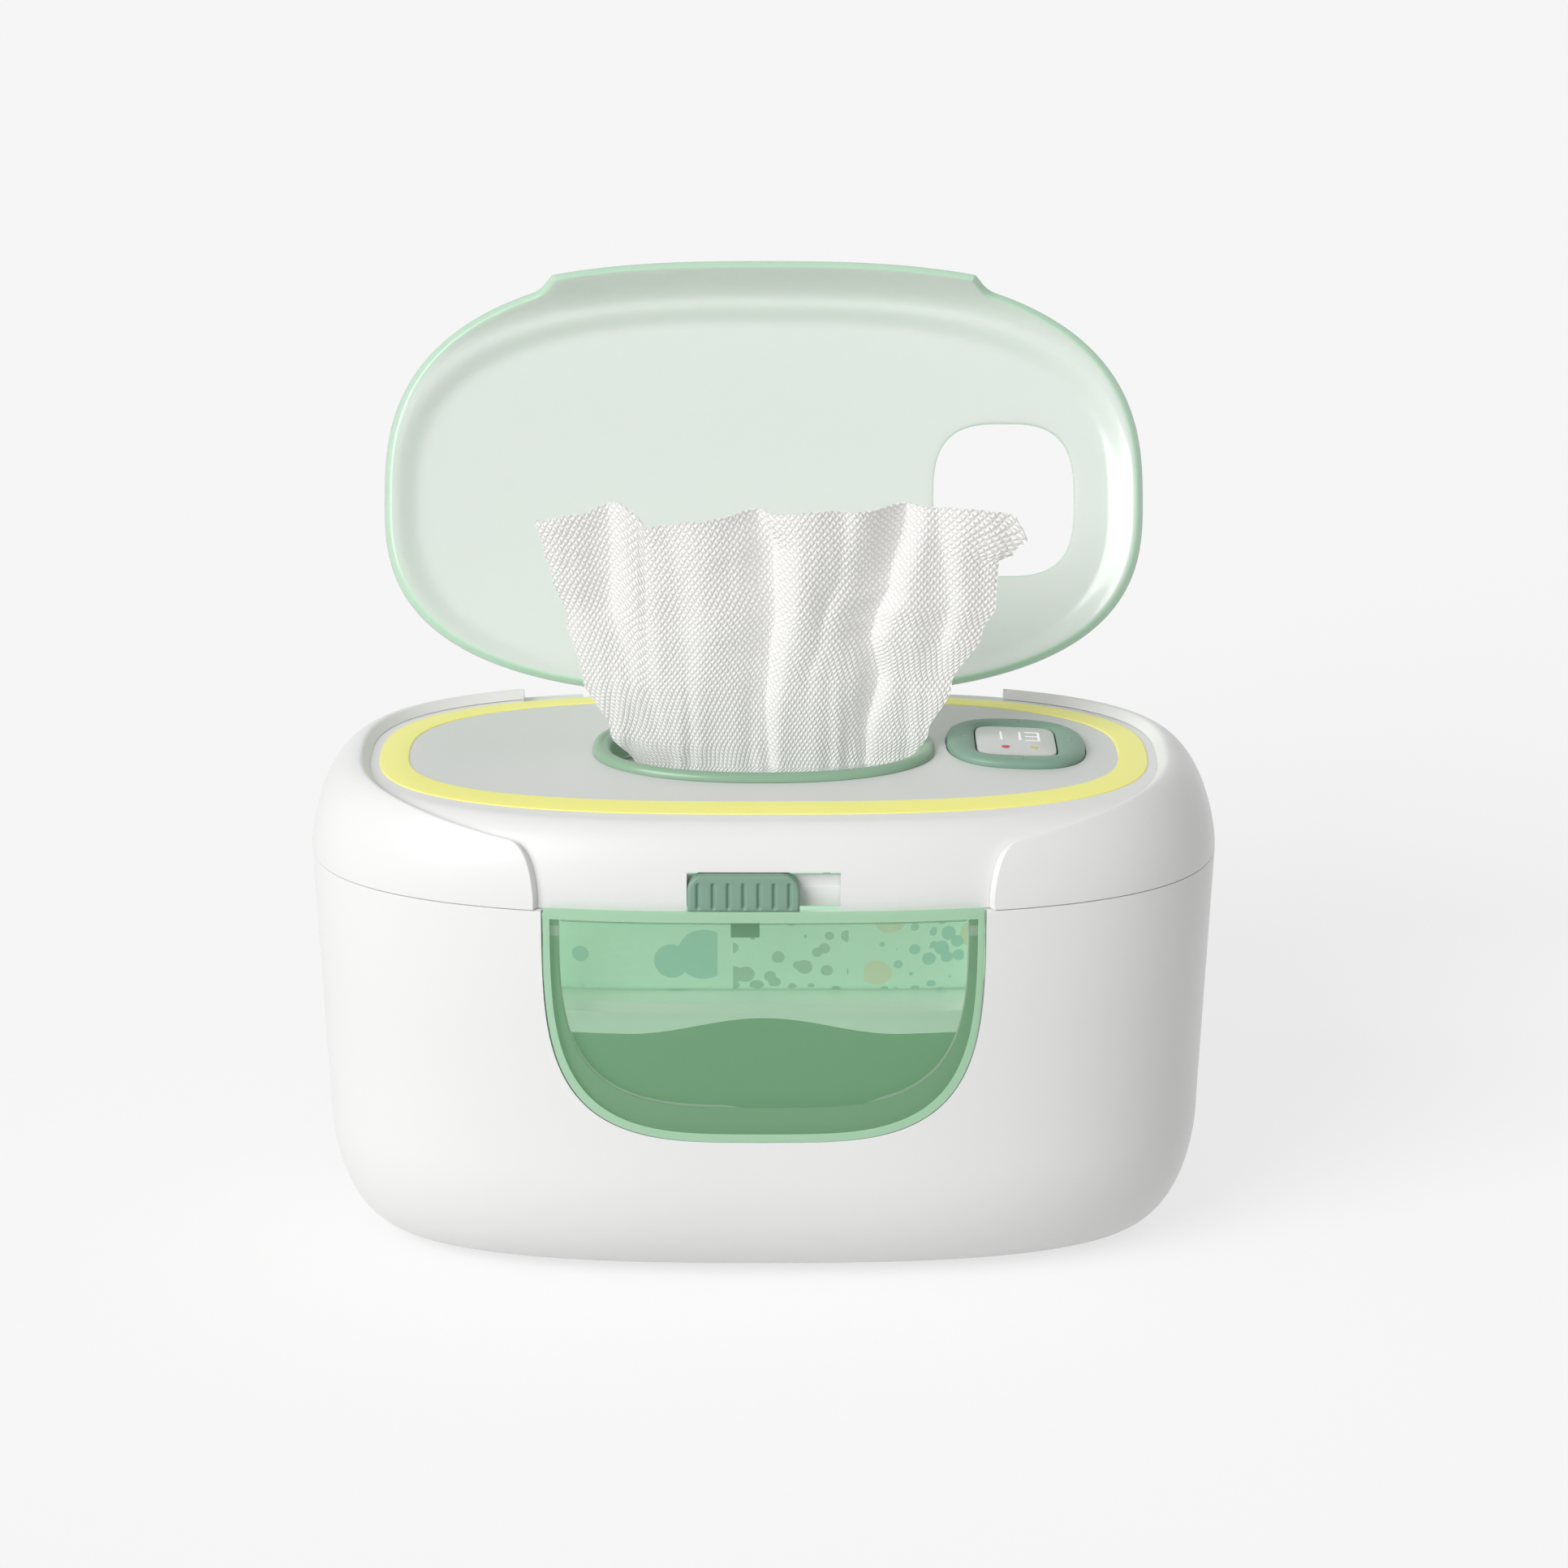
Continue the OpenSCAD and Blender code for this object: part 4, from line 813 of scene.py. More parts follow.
def add_knuckles(body, name, side):
    """Knuckles of the rear hinge on their webs; side 1 is the cover's, -1 the body's."""
    s = sizes()
    bm = bmesh.new()
    y = s.half_d + 3.8 * MM
    for x in ([-0.038, 0.038] if side > 0 else [-0.0473, -0.0287, 0.0287, 0.0473]):
        rod(bm, (x - 0.0045, y, s.seam), (x + 0.0045, y, s.seam), 3.2 * MM, 40, 0.3 * MM)
        z0, z1 = sorted((s.seam + side * 0.3 * MM, s.seam + side * 3.2 * MM))
        block(bm, (x - 0.0045, s.half_d - 2.2 * MM, z0), (x + 0.0045, y, z1), 0.25 * MM)
    make(name, bm, "body_white", body)


def window_outline(turn, inset_x, inset_z, above=0.0):
    """Window in the front view: a straight top at the seam and a full, squarish lower edge."""
    s = sizes()
    a, b = WINDOW_A - inset_x * MM, WINDOW_B - inset_z * MM
    if turn > math.pi:
        x, z = super_point(a, b, WINDOW_PLAN, turn)
        return x, s.seam + z
    c = math.cos(turn)
    side = abs(c) > 0.985
    if side:
        return math.copysign(a, c), s.seam + above * (1 - abs(c)) / 0.015
    return a * c / 0.985, s.seam + above


class WARMER_OT_window(bpy.types.Operator):
    """Tinted window with its top rail"""
    bl_idname = "warmer.window"
    bl_label = "Window"

    def execute(self, context):
        s = sizes()
        a, b, n = 56.7 * MM, 63.0 * MM, WINDOW_PLAN
        top = s.seam - 0.2 * MM
        bm = bmesh.new()
        bmesh.ops.create_grid(bm, x_segments=120, y_segments=72, size=1)
        bm.verts.layers.float.new("mask")
        for v in bm.verts:
            q = math.radians(89.4) * (1 - v.co.y) / 2
            x, z = v.co.x * a * math.cos(q) ** (2 / n), top - b * math.sin(q) ** (2 / n)
            v.co = Vector((x, wall_y(x, z, 0), z))
        bmesh.ops.solidify(bm, geom=bm.faces, thickness=-s.pane)
        bevel_rim(bm, 1.0, 0.25 * MM)
        make("window_pane", bm, "window_green", "base", ["front_window"], 50)
        d = s.pane
        rail = bmesh.new()
        bmesh.ops.create_grid(rail, x_segments=64, y_segments=3, size=1)
        for v in rail.verts:
            x, z = v.co.x * 52 * MM, s.seam - (1.6 + 1.4 * v.co.y) * MM
            v.co = Vector((x, wall_y(x, z, d + 0.15 * MM), z))
        bmesh.ops.solidify(rail, geom=rail.faces, thickness=-0.8 * MM)
        make("window_rail", rail, "window_green", "base")
        return {"FINISHED"}


class WARMER_OT_guard(bpy.types.Operator):
    """Guard with a wavy top edge behind the window"""
    bl_idname = "warmer.guard"
    bl_label = "Guard"

    def execute(self, context):
        bm = bmesh.new()
        bmesh.ops.create_grid(bm, x_segments=120, y_segments=24, size=1)
        for v in bm.verts:
            x = v.co.x * 51.5 * MM
            wave = 2.4 * MM * (1 + math.cos(math.pi * x / (36 * MM))) if abs(x) < 36 * MM else 0
            top = 72.2 * MM + wave
            z = 49.7 * MM + (v.co.y + 1) / 2 * (top - 49.7 * MM)
            v.co = Vector((x, wall_y(x, z, 4.6 * MM), z))
        bmesh.ops.solidify(bm, geom=bm.faces, thickness=-1.2 * MM)
        bevel_rim(bm, 1.2, 0.3 * MM)
        for x in (-0.04, 0.04):
            rod(bm, (x, wall_y(x, 52.7 * MM, 5.6 * MM), 52.7 * MM), (x, -0.0532, 52.7 * MM), 2 * MM, 24)
        make("wavy_guard", bm, "guard_green", "base", ["front_guard"])
        return {"FINISHED"}


class WARMER_OT_bin(bpy.types.Operator):
    """Bin with its rim, opening behind the window, stop lugs and spring posts"""
    bl_idname = "warmer.bin"
    bl_label = "Bin"

    def execute(self, context):
        s = sizes()

        def ring(da, db, z):
            a, b = (112.6 - da) * MM, (59.2 - db) * MM
            return (lambda turn: Vector((*super_point(a, b, s.plan, turn), z * MM)), 0)
        t = 1.7
        bm = bmesh.new()
        new_rings(bm, 224, [
            ring(60, 30, 34), ring(14.6, 14.2, 34), ring(9.6, 9.2, 36), ring(6.1, 5.7, 41),
            ring(3.6, 3.2, 52), ring(0, 0, 103.8), ring(0, 0, 104), ring(-2.5, -2.5, 104),
            ring(-2.9, -2.8, 104.4), ring(-2.9, -2.8, 106.1), ring(-2.5, -2.5, 106.5),
            ring(t - .4, t - .4, 106.5), ring(t, t, 106.1), ring(3.6 + t, 3.2 + t, 52),
            ring(6.1 + t, 5.7 + t, 41.6), ring(9.8 + t, 9.4 + t, 37.6), ring(15 + t, 14.6 + t, 36),
            ring(60, 30, 36)], lids=(True, True))
        made = make("bin_tub", bm, "bin_white", "base", ["inner_bin"])
        cut_block(made, (-0.0525, -0.067, 0.064), (0.0525, -0.0335, 0.104))
        bm = bmesh.new()
        for x, y in SPRINGS_AT:
            rod(bm, (x, y, 0.0355), (x, y, 0.0495), 4.6 * MM, 32, 0.6 * MM)
        for side in (-1, 1):
            x = side * (104.3 + 2.6) * MM
            block(bm, (x - 2.6 * MM, -0.006, 0.0795), (x + 2.6 * MM, 0.006, 0.0825), 0.5 * MM)
        make("bin_posts", bm, "bin_white", "base")
        return {"FINISHED"}


class WARMER_OT_springs(bpy.types.Operator):
    """Four wound springs under the lifting plate"""
    bl_idname = "warmer.springs"
    bl_label = "Lift springs"

    def execute(self, context):
        bm = bmesh.new()
        turns, steps, rise = 7, 32, 38.4 * MM
        for x, y in SPRINGS_AT:
            place = (Matrix.Translation((x + 6.2 * MM, y, 36.9 * MM))
                     @ Matrix.Rotation(math.pi / 2, 4, "X"))
            start = bmesh.ops.create_circle(bm, segments=10, radius=0.7 * MM, matrix=place)
            edges = list({e for v in start["verts"] for e in v.link_edges})
            bmesh.ops.spin(bm, geom=start["verts"] + edges, cent=(x, y, 0), axis=(0, 0, 1),
                           dvec=(0, 0, rise / (turns * steps)), angle=math.tau * turns,
                           steps=turns * steps, use_merge=False)
        springs = make("lift_coils", bm, "steel", "base", ["lift_springs"], 60)
        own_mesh(springs)
        return {"FINISHED"}


class WARMER_OT_pack(bpy.types.Operator):
    """Pack of wipes: a soft film pillow with crimped ends and a generic print"""
    bl_idname = "warmer.pack"
    bl_label = "Pack of wipes"

    def execute(self, context):
        low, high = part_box("wipe_pack")
        bm = bmesh.new()

        def ring(drop, z):
            def where(turn):
                x, y = super_point(high.x - drop * MM, high.y - drop * 0.8 * MM, 4, turn)
                p = Vector((x, y, low.z + z * MM))
                soft = noise.noise(p * 38) * 0.9 + noise.noise(p * 95 + Vector((3, 1, 5))) * 0.45
                inward = min(1, drop / 6 + 0.25)
                p.x -= math.copysign(abs(soft) * inward * MM, p.x)
                p.y += soft * 0.35 * MM * (1 if p.y < 0 else -1)
                if z > 38:
                    p.z -= abs(soft) * 1.2 * MM
                return p
            return where
        rows = [(30, 0.02), (7, 0), (4.2, .7), (2.4, 2.2), (1.2, 4.4), (.6, 7), (.2, 11), (0, 15),
                (0, 21), (0, 27), (.3, 31), (.8, 35), (1.6, 38), (2.8, 40), (5, 41.4), (8, 42),
                (15, 42.4), (26, 42.6), (40, 42.6)]
        new_rings(bm, 224, [(ring(*row), 0) for row in rows], lids=(True, True))
        pack = make("film_pack", bm, "pack_film", "lift", ["wipe_pack"], 60)
        return {"FINISHED"}


class WARMER_OT_cover(bpy.types.Operator):
    """White frame of the cover round the recess, with its rear knuckles"""
    bl_idname = "warmer.cover"
    bl_label = "Cover frame"

    def execute(self, context):
        s = sizes()
        r = s.round_edge
        start, end = tongue_turns()
        start, end = start + 0.002, end - 0.002
        count, stations = 64, 320

        def section(turn):
            top = recess_way(turn, 0)
            step = (cover_point(turn, top, 0) - cover_point(turn, top - min(top, 0.01), 0)).length
            edge = min(r / step * min(top, 0.01), top * 0.5)
            tight = min(r, 0.5 * edge / 0.01 * step + 0.05 * MM)

            def where(index):
                k = round(index / math.tau * count) % count
                if k < 38:
                    return cover_point(turn, (top - edge) * k / 37, 0)
                if k < 42:
                    a = math.radians(22.5 * (k - 37))
                    return cover_point(turn, top - edge * (1 - math.sin(a)), tight * (1 - math.cos(a)))
                if k < 60:
                    return cover_point(turn, top * (1 - (k - 42) / 17), s.shell)
                return cover_point(turn, 0, s.shell * (1 - (k - 59) / 5))
            return where
        bm = bmesh.new()
        turns = [start + (end - start) * spread(k / (stations - 1)) for k in range(stations)]
        new_rings(bm, count, [(section(turn), 0) for turn in turns], lids=(True, True))
        made = make("cover_frame", bm, "body_white", "top_cover", ["top_shell"], 30)
        cut_hinge_room(made)
        add_knuckles("top_cover", "cover_knuckles", 1)
        return {"FINISHED"}


def spread(f):
    """Crowds the stations near both ends."""
    return 0.5 - 0.5 * math.cos(math.pi * f) * (0.6 + 0.4 * abs(math.cos(math.pi * f)))


def tongue_turns():
    """Turns at which the seam meets the tongue, from the right round the back to the left."""
    lo, hi = -math.pi / 2, 0.0
    for _ in range(50):
        mid = (lo + hi) / 2
        if outside_recess(*cover_point(mid, 0, 0).xy) > 0:
            hi = mid
        else:
            lo = mid
    return hi, math.pi - hi


class WARMER_OT_deck(bpy.types.Operator):
    """Deck with its openings for the outlet, the keys and the slide"""
    bl_idname = "warmer.deck"
    bl_label = "Deck"

    def execute(self, context):
        s = sizes()
        top, under = s.shell + 0.1 * MM, s.shell + 0.1 * MM + s.deck
        bm = bmesh.new()

        def at(way, depth):
            return (lambda turn: cover_point(turn, way, depth), 0)
        rows = [0, .12, .25, .38, .5, .62, .74, .86, .94, 1, 1.04, 1.1, 1.2, 1.35, 1.5, 1.7, 1.9, 1.98]
        rings = [at(w, top) for w in rows]
        inner = [at(w, under) for w in (1.98, 1.5, 1.2, 1, .8, .6, .4, .2, 0)]
        new_rings(bm, 288, inner + rings, lids=(True, True))
        made = make("deck", bm, "deck_grey", "top_cover", ["deck_panel"], 30)
        cut_prism(made, lambda turn: oval(turn, *OUTLET_AT, 42.2, 24.2, OUTLET_PLAN),
                  128, 0.11, 0.15, angle=30)
        cut_prism(made, lambda turn: oval(turn, *KEYS_AT, 18.7, 19.5, 2.6), 96, 0.11, 0.15, angle=30)
        cut_block(made, (-0.01965, -0.075, 0.107), (0.01965, -0.060, 0.1185), 30)
        cut_hinge_room(made)
        return {"FINISHED"}


def oval(turn, cx, cy, a, b, n):
    x, y = super_point(a * MM, b * MM, n, turn)
    return cx * MM + x, cy * MM + y


def on_deck(cx, cy, a, b, n, up):
    """Ring that lies on the deck with a height above it."""
    def where(turn):
        x, y = oval(turn, cx, cy, a, b, n)
        return Vector((x, y, cover_z(x, y, sizes().shell + 0.1 * MM) + up * MM))
    return where


class WARMER_OT_ring(bpy.types.Operator):
    """Yellow light ring in the deck"""
    bl_idname = "warmer.ring"
    bl_label = "Light ring"

    def execute(self, context):
        bm = bmesh.new()
        a, b, w = 101.8, 52, 7.7
        rows = [(0, -0.7), (0, 0.12), (0.15, 0.27), (0.4, 0.3), (w / 2, 0.34), (w - 0.4, 0.3),
                (w - 0.15, 0.27), (w, 0.12), (w, -0.7)]
        new_rings(bm, 320, [(on_deck(0, 0, a - q, b - q, 2.7, h), 0) for q, h in rows], close=True)
        make("light_band", bm, "ring_yellow", "top_cover", ["light_ring"], 40)
        return {"FINISHED"}


class WARMER_OT_outlet(bpy.types.Operator):
    """Rounded lip of the wipe outlet, with its inner groove and sleeve"""
    bl_idname = "warmer.outlet"
    bl_label = "Outlet lip"

    def execute(self, context):
        bm = bmesh.new()
        rows = [(0, .12), (.02, .7), (.15, 1.2), (.5, 1.7), (1.0, 2.05), (1.6, 2.2), (2.1, 2.15),
                (2.5, 1.9), (2.75, 1.75), (3.1, 1.7), (3.6, 1.55), (4.2, 1.2), (4.6, .7), (4.9, .2),
                (5.3, -2), (5.4, -5.5), (3.7, -5.5), (3.7, .12)]
        rings = [(on_deck(*OUTLET_AT, 45.3 - q, 27.3 - q, OUTLET_PLAN, h), 0) for q, h in rows]
        new_rings(bm, 224, rings, close=True)
        make("outlet_lip", bm, "lip_green", "top_cover", ["outlet_rim"], 50)
        return {"FINISHED"}


class WARMER_OT_keys(bpy.types.Operator):
    """Key ring with its pale icons"""
    bl_idname = "warmer.keys"
    bl_label = "Key ring"

    def execute(self, context):
        bm = bmesh.new()
        a, b, da, db = 18.4, 19.2, 10.6, 12.4
        rows = [(a, b, 2.6, -2), (a, b, 2.6, .7), (a - .1, b - .1, 2.6, 1.15),
                (a - .4, b - .4, 2.6, 1.6), (a - 1, b - 1, 2.6, 2.0), (a - 2, b - 2, 2.7, 2.25),
                (a - 3.3, b - 3.2, 3.0, 2.3), (a - 5, b - 4.6, 3.6, 2.15),
                (da + 1.4, db + 1.2, 4.6, 1.8), (da + .7, db + .7, 5.4, 1.5),
                (da + .35, db + .35, 6, 1.2), (da + .3, db + .3, 6, .9), (da + .3, db + .3, 6, -2)]
        new_rings(bm, 160, [(on_deck(*KEYS_AT, *row[:3], row[3]), 0) for row in rows], close=True)
        make("key_ring", bm, "sage_green", "key_ring", ["control_ring"], 40)
        icons = bmesh.new()

        def bar(x0, y0, x1, y1, w=0.28):
            """Thin raised bar on the key ring between two points in millimetres from its middle."""
            way = Vector((x1 - x0, y1 - y0))
            side = Vector((-way.y, way.x)).normalized() * w
            corners = [(x0 + side.x, y0 + side.y), (x0 - side.x, y0 - side.y),
                       (x1 - side.x, y1 - side.y), (x1 + side.x, y1 + side.y)]
            spots = []
            for x, y in corners:
                h = ring_height(rows, x, y)
                px, py = (KEYS_AT[0] + x) * MM, (KEYS_AT[1] + y) * MM
                spots.append(icons.verts.new((px, py, cover_z(px, py, 2.3 * MM) + (h + 0.06) * MM)))
            icons.faces.new(spots)
        for x in (-14.3, 14.3):
            bar(x - 1.3, 0.6, x + 1.3, 0.6)
        bar(14.3, -1.1, 14.3, 2.3)

        def arc(cx, cy, r, a0, a1, ry=None, n=14):
            """Row of bars along an arc between two angles in degrees."""
            turns = [math.radians(a0 + (a1 - a0) * k / n) for k in range(n + 1)]
            pts = [(cx + r * math.cos(turn), cy + (ry or r) * math.sin(turn)) for turn in turns]
            for p, q in zip(pts, pts[1:]):
                bar(*p, *q, 0.2)
        arc(0, -15.6, 1.9, 125, 415)
        bar(0, -15.2, 0, -12.9, 0.22)
        arc(0, 15.2, 1.7, 0, 180, 2.2)
        bar(-2.3, 15.0, 2.3, 15.0, 0.2)
        bar(-0.6, 14.3, 0.6, 14.3, 0.2)
        for k in (-1, 1):
            bar(k * 2.6, 16.9, k * 3.4, 17.4, 0.2)
        bmesh.ops.solidify(icons, geom=icons.faces, thickness=0.1 * MM)
        make("key_icons", icons, "icon_pale", "key_ring")
        return {"FINISHED"}


def ring_height(rows, x, y):
    """Height of the key ring's face at a place given in millimetres from its middle."""
    best = rows[1][3]
    for a, b, n, h in rows[1:12]:
        if (abs(x / a) ** n + abs(y / b) ** n) <= 1:
            best = h
    for (a0, b0, n0, h0), (a1, b1, n1, h1) in zip(rows[1:11], rows[2:12]):
        d0 = (abs(x / a0) ** n0 + abs(y / b0) ** n0) ** (1 / n0)
        d1 = (abs(x / a1) ** n1 + abs(y / b1) ** n1) ** (1 / n1)
        if d0 <= 1 < d1:
            return h0 + (h1 - h0) * (1 - d0) / max(1e-6, d1 - d0)
    return best


class WARMER_OT_display(bpy.types.Operator):
    """Display with its digits and two small marks"""
    bl_idname = "warmer.display"
    bl_label = "Display"

    def execute(self, context):
        bm = bmesh.new()
        rows = [(10.6, 12.4, 6, -3.6), (10.6, 12.4, 6, 1.25), (10.5, 12.3, 6, 1.45),
                (10.2, 12.0, 6, 1.6), (9.6, 11.4, 6, 1.66), (7, 8.5, 5, 1.7), (3, 4, 4, 1.72),
                (.3, .4, 3, 1.72)]
        rings = [(on_deck(*KEYS_AT, *row[:3], row[3]), 0) for row in rows]
        new_rings(bm, 128, rings, lids=(True, True))
        make("display_face", bm, "lens_grey", "top_cover", ["display_lens"], 40)

        def lie(marks):
            """Moves marks made about the origin onto the display's face."""
            for v in marks.verts:
                x, y = KEYS_AT[0] * MM + v.co.x, KEYS_AT[1] * MM + v.co.y
                v.co = Vector((x, y, cover_z(x, y, 2.3 * MM) + 1.72 * MM + v.co.z))
        digits = bmesh.new()
        shapes = {"1": "bc", "3": "abgcd"}
        w, h, t = 2.3, 6.0, 0.3
        for slot, digit in enumerate("113"):
            cx, cy = (-5.4 + slot * 5.0), 3.2
            seg = {"a": (-w, h, w, h), "g": (-w, 0, w, 0), "d": (-w, -h, w, -h),
                   "b": (w, 0.4, w, h - .4), "c": (w, -h + .4, w, -.4)}
            for name in shapes[digit]:
                x0, y0, x1, y1 = (v * 0.72 for v in seg[name])
                low = (cx + min(x0, x1) - t, cy + min(y0, y1) * 0.8 - t, -0.05)
                high = (cx + max(x0, x1) + t, cy + max(y0, y1) * 0.8 + t, 0.06)
                block(digits, [v * MM for v in low], [v * MM for v in high], 0.03 * MM, 1)
        lie(digits)
        make("display_digits", digits, "digit_white", "top_cover")
        for name, x, look in (("heat_mark", -2.9, "mark_red"), ("lamp_mark", 4.6, "mark_yellow")):
            mark = bmesh.new()
            for dx, dy, r in ((0, 0, 0.95), (0.5, 0.55, 0.65), (-0.5, 0.5, 0.6)):
                at = ((x + dx) * MM, (-6.6 + dy) * MM)
                rod(mark, (*at, -0.05 * MM), (*at, 0.07 * MM), r * MM, 20)
            lie(mark)
            make(name, mark, look, "top_cover")
        return {"FINISHED"}


class WARMER_OT_lid(bpy.types.Operator):
    """Flip lid: thin pale green shell with a border, an opening for the keys and a hinge barrel"""
    bl_idname = "warmer.lid"
    bl_label = "Flip lid"

    def execute(self, context):
        s = sizes()
        top_a = s.half_w - s.cap_x
        tip = math.asin(((119.8 * MM - s.seam) / s.cap_h) ** (1 / 1.11)) / (math.pi / 2)
        edges = {}

        def start(turn):
            key = round(turn, 6)
            if key not in edges:
                edges[key] = max(tip, recess_way(turn, 0.5 * MM, 2.4 * MM, 0.0))
            return edges[key]

        def skin(turn, way, depth):
            p = cover_point(turn, way, depth)
            if way > 1:
                k = 2 - way
                e = max(0.0, min(1.0, (top_a * (1 - k) - 1 * MM) / (8 * MM)))
                p.z += s.lid_rise * e * e * (3 - 2 * e)
                p.y *= 1 - (1 - k) * 0.35
            return p

        def inset(turn, distance):
            """Way that lies a distance in from the lid's edge."""
            way = start(turn)
            left = distance
            last = skin(turn, way, 0)
            while left > 1e-9 and way < 1.9:
                step = skin(turn, way + 0.004, 0)
                run = (step - last).length
                if run >= left:
                    return way + 0.004 * left / run
                left, way, last = left - run, way + 0.004, step
            return way

        def edge_row(distance, depth, mask=0.0):
            return (lambda turn: skin(turn, inset(turn, distance * MM), depth * MM), mask)

        def inner_row(k, way, depth):
            """Row at a fixed way, which stays inside the edge rows."""
            def where(turn):
                return skin(turn, max(way, inset(turn, 2.4 * MM) + 0.0004 * (k + 1)), depth)
            return where, 0
        ways = [.45, .6, .75, .87, .95, 1.0, 1.012, 1.024, 1.036, 1.048, 1.06, 1.072, 1.084, 1.1,
                1.14, 1.2, 1.3, 1.42, 1.56, 1.7, 1.84, 1.95, 1.985]
        rings = [inner_row(k, way, 0) for k, way in reversed(list(enumerate(ways)))]
        rings += [edge_row(2.4, 0), edge_row(1.2, 0, .05), edge_row(.55, 0, .3), edge_row(.2, .1, .8),
                  edge_row(.04, .35, 1), edge_row(0, .7, 1), edge_row(0, 1.3, 1),
                  edge_row(.04, 1.65, 1), edge_row(.2, 1.9, .9), edge_row(.6, 2, .4),
                  edge_row(1.3, 2, .1), edge_row(2.4, 2)]
        rings += [inner_row(k, way, s.lid_t) for k, way in enumerate(ways)]
        bm = bmesh.new()
        new_rings(bm, 360, rings, lids=(True, True))
        lid = make("lid_shell", bm, "lid_pale_green", "flip_lid", ["flip_lid"], 50)
        cut_prism(lid, lambda turn: oval(turn, 67, -0.5, 19.6, 21.4, 3), 160, 0.11, 0.16, angle=50)
        y, z = LID_AXIS
        hinge = bmesh.new()
        rod(hinge, (-0.044, y, z), (0.044, y, z), 2.4 * MM, 40, 0.3 * MM)
        block(hinge, (-0.044, y - 1.9 * MM, z), (0.044, y - 0.1 * MM, 131.4 * MM), 0.3 * MM)
        block(hinge, (-0.044, 53.0 * MM, 130.6 * MM), (0.044, 57.5 * MM, 131.8 * MM), 0.3 * MM)
        barrel = make("lid_barrel", hinge, "lid_pale_green", "flip_lid")
        swing = (Matrix.Translation((0, y, z)) @ Matrix.Rotation(-s.lid_open, 4, "X")
                 @ Matrix.Translation((0, -y, -z)))
        for piece in (lid, barrel):
            work = bmesh.new()
            work.from_mesh(piece.data)
            closed = work.verts.layers.float_vector.new("closed")
            for v in work.verts:
                v[closed] = v.co
            bmesh.ops.transform(work, matrix=swing, verts=work.verts)
            work.to_mesh(piece.data)
            work.free()
            shade(piece, 50)
        return {"FINISHED"}


class WARMER_OT_slide(bpy.types.Operator):
    """Ribbed slide with its hook"""
    bl_idname = "warmer.slide"
    bl_label = "Slide"

    def execute(self, context):
        s = sizes()
        x0, w, h = -19.5, 28.7, 9.7
        y0 = -(67 - 2.3) - 1.6
        bm = bmesh.new()
        bmesh.ops.create_grid(bm, x_segments=164, y_segments=40, size=1)
        for v in bm.verts:
            u, q = (v.co.x + 1) / 2, (v.co.y + 1) / 2
            z = 0.5 + q * h
            # The upper corners are rounded, and the ribs' grooves fade out at both ends
            over = max(0.0, z - (h - 3.8)) / 4.3
            narrow = 4.3 * (1 - math.sqrt(max(0.0, 1 - min(1, over) ** 2)))
            x = x0 + narrow + (w - 2 * narrow) * u
            y = y0 + 1.3 * q
            across = x - (x0 + w / 2)
            near = across / 3.9 - round(across / 3.9)
            if abs(across) < 3.9 * 3.4 and 1.3 < z < h - 1.4:
                fade = min(1, (z - 1.3) / 0.6, (h - 1.4 - z) / 0.6)
                y += 0.75 * math.exp(-(near * 3.9 / 0.42) ** 2) * fade
            rim = min(x - x0 - narrow, x0 + w - narrow - x, z - 0.5, 0.5 + h - z)
            if rim < 0.8:
                y += 0.8 - math.sqrt(max(0.0, 0.64 - (0.8 - max(0, rim)) ** 2))
            v.co = Vector((x, y, s.seam / MM + z)) * MM
        sides = bmesh.ops.extrude_face_region(bm, geom=bm.faces[:])["geom"]
        for v in sides:
            if isinstance(v, bmesh.types.BMVert):
                v.co.y = max(v.co.y, (y0 + 1.6 + 3.2) * MM)
        block(bm, (-8.45 * MM, -0.0639, 0.101), (-1.05 * MM, -0.0625, 0.110), 0.3 * MM)
        make("slide_grip", bm, "sage_green", "slider", ["slide_button"], 50)
        low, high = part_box("catch_plate")
        front = -61.2 * MM
        tray = bmesh.new()
        block(tray, (low.x, front + 0.7 * MM, low.z), (high.x, high.y, high.z), 0.2 * MM)
        block(tray, (low.x, front + 0.1 * MM, low.z), (high.x, front + 1.0 * MM, low.z + 5.6 * MM),
              0.35 * MM, 3)
        for side in (-1, 1):
            block(tray, (side * 24.2 * MM - 2 * MM, front - 0.4 * MM, 0.1095),
                  (side * 24.2 * MM + 2 * MM, front + 0.6 * MM, 0.113), 0.15 * MM)
        make("catch_tray", tray, "deck_grey", "top_cover", ["catch_plate"], 40)
        return {"FINISHED"}


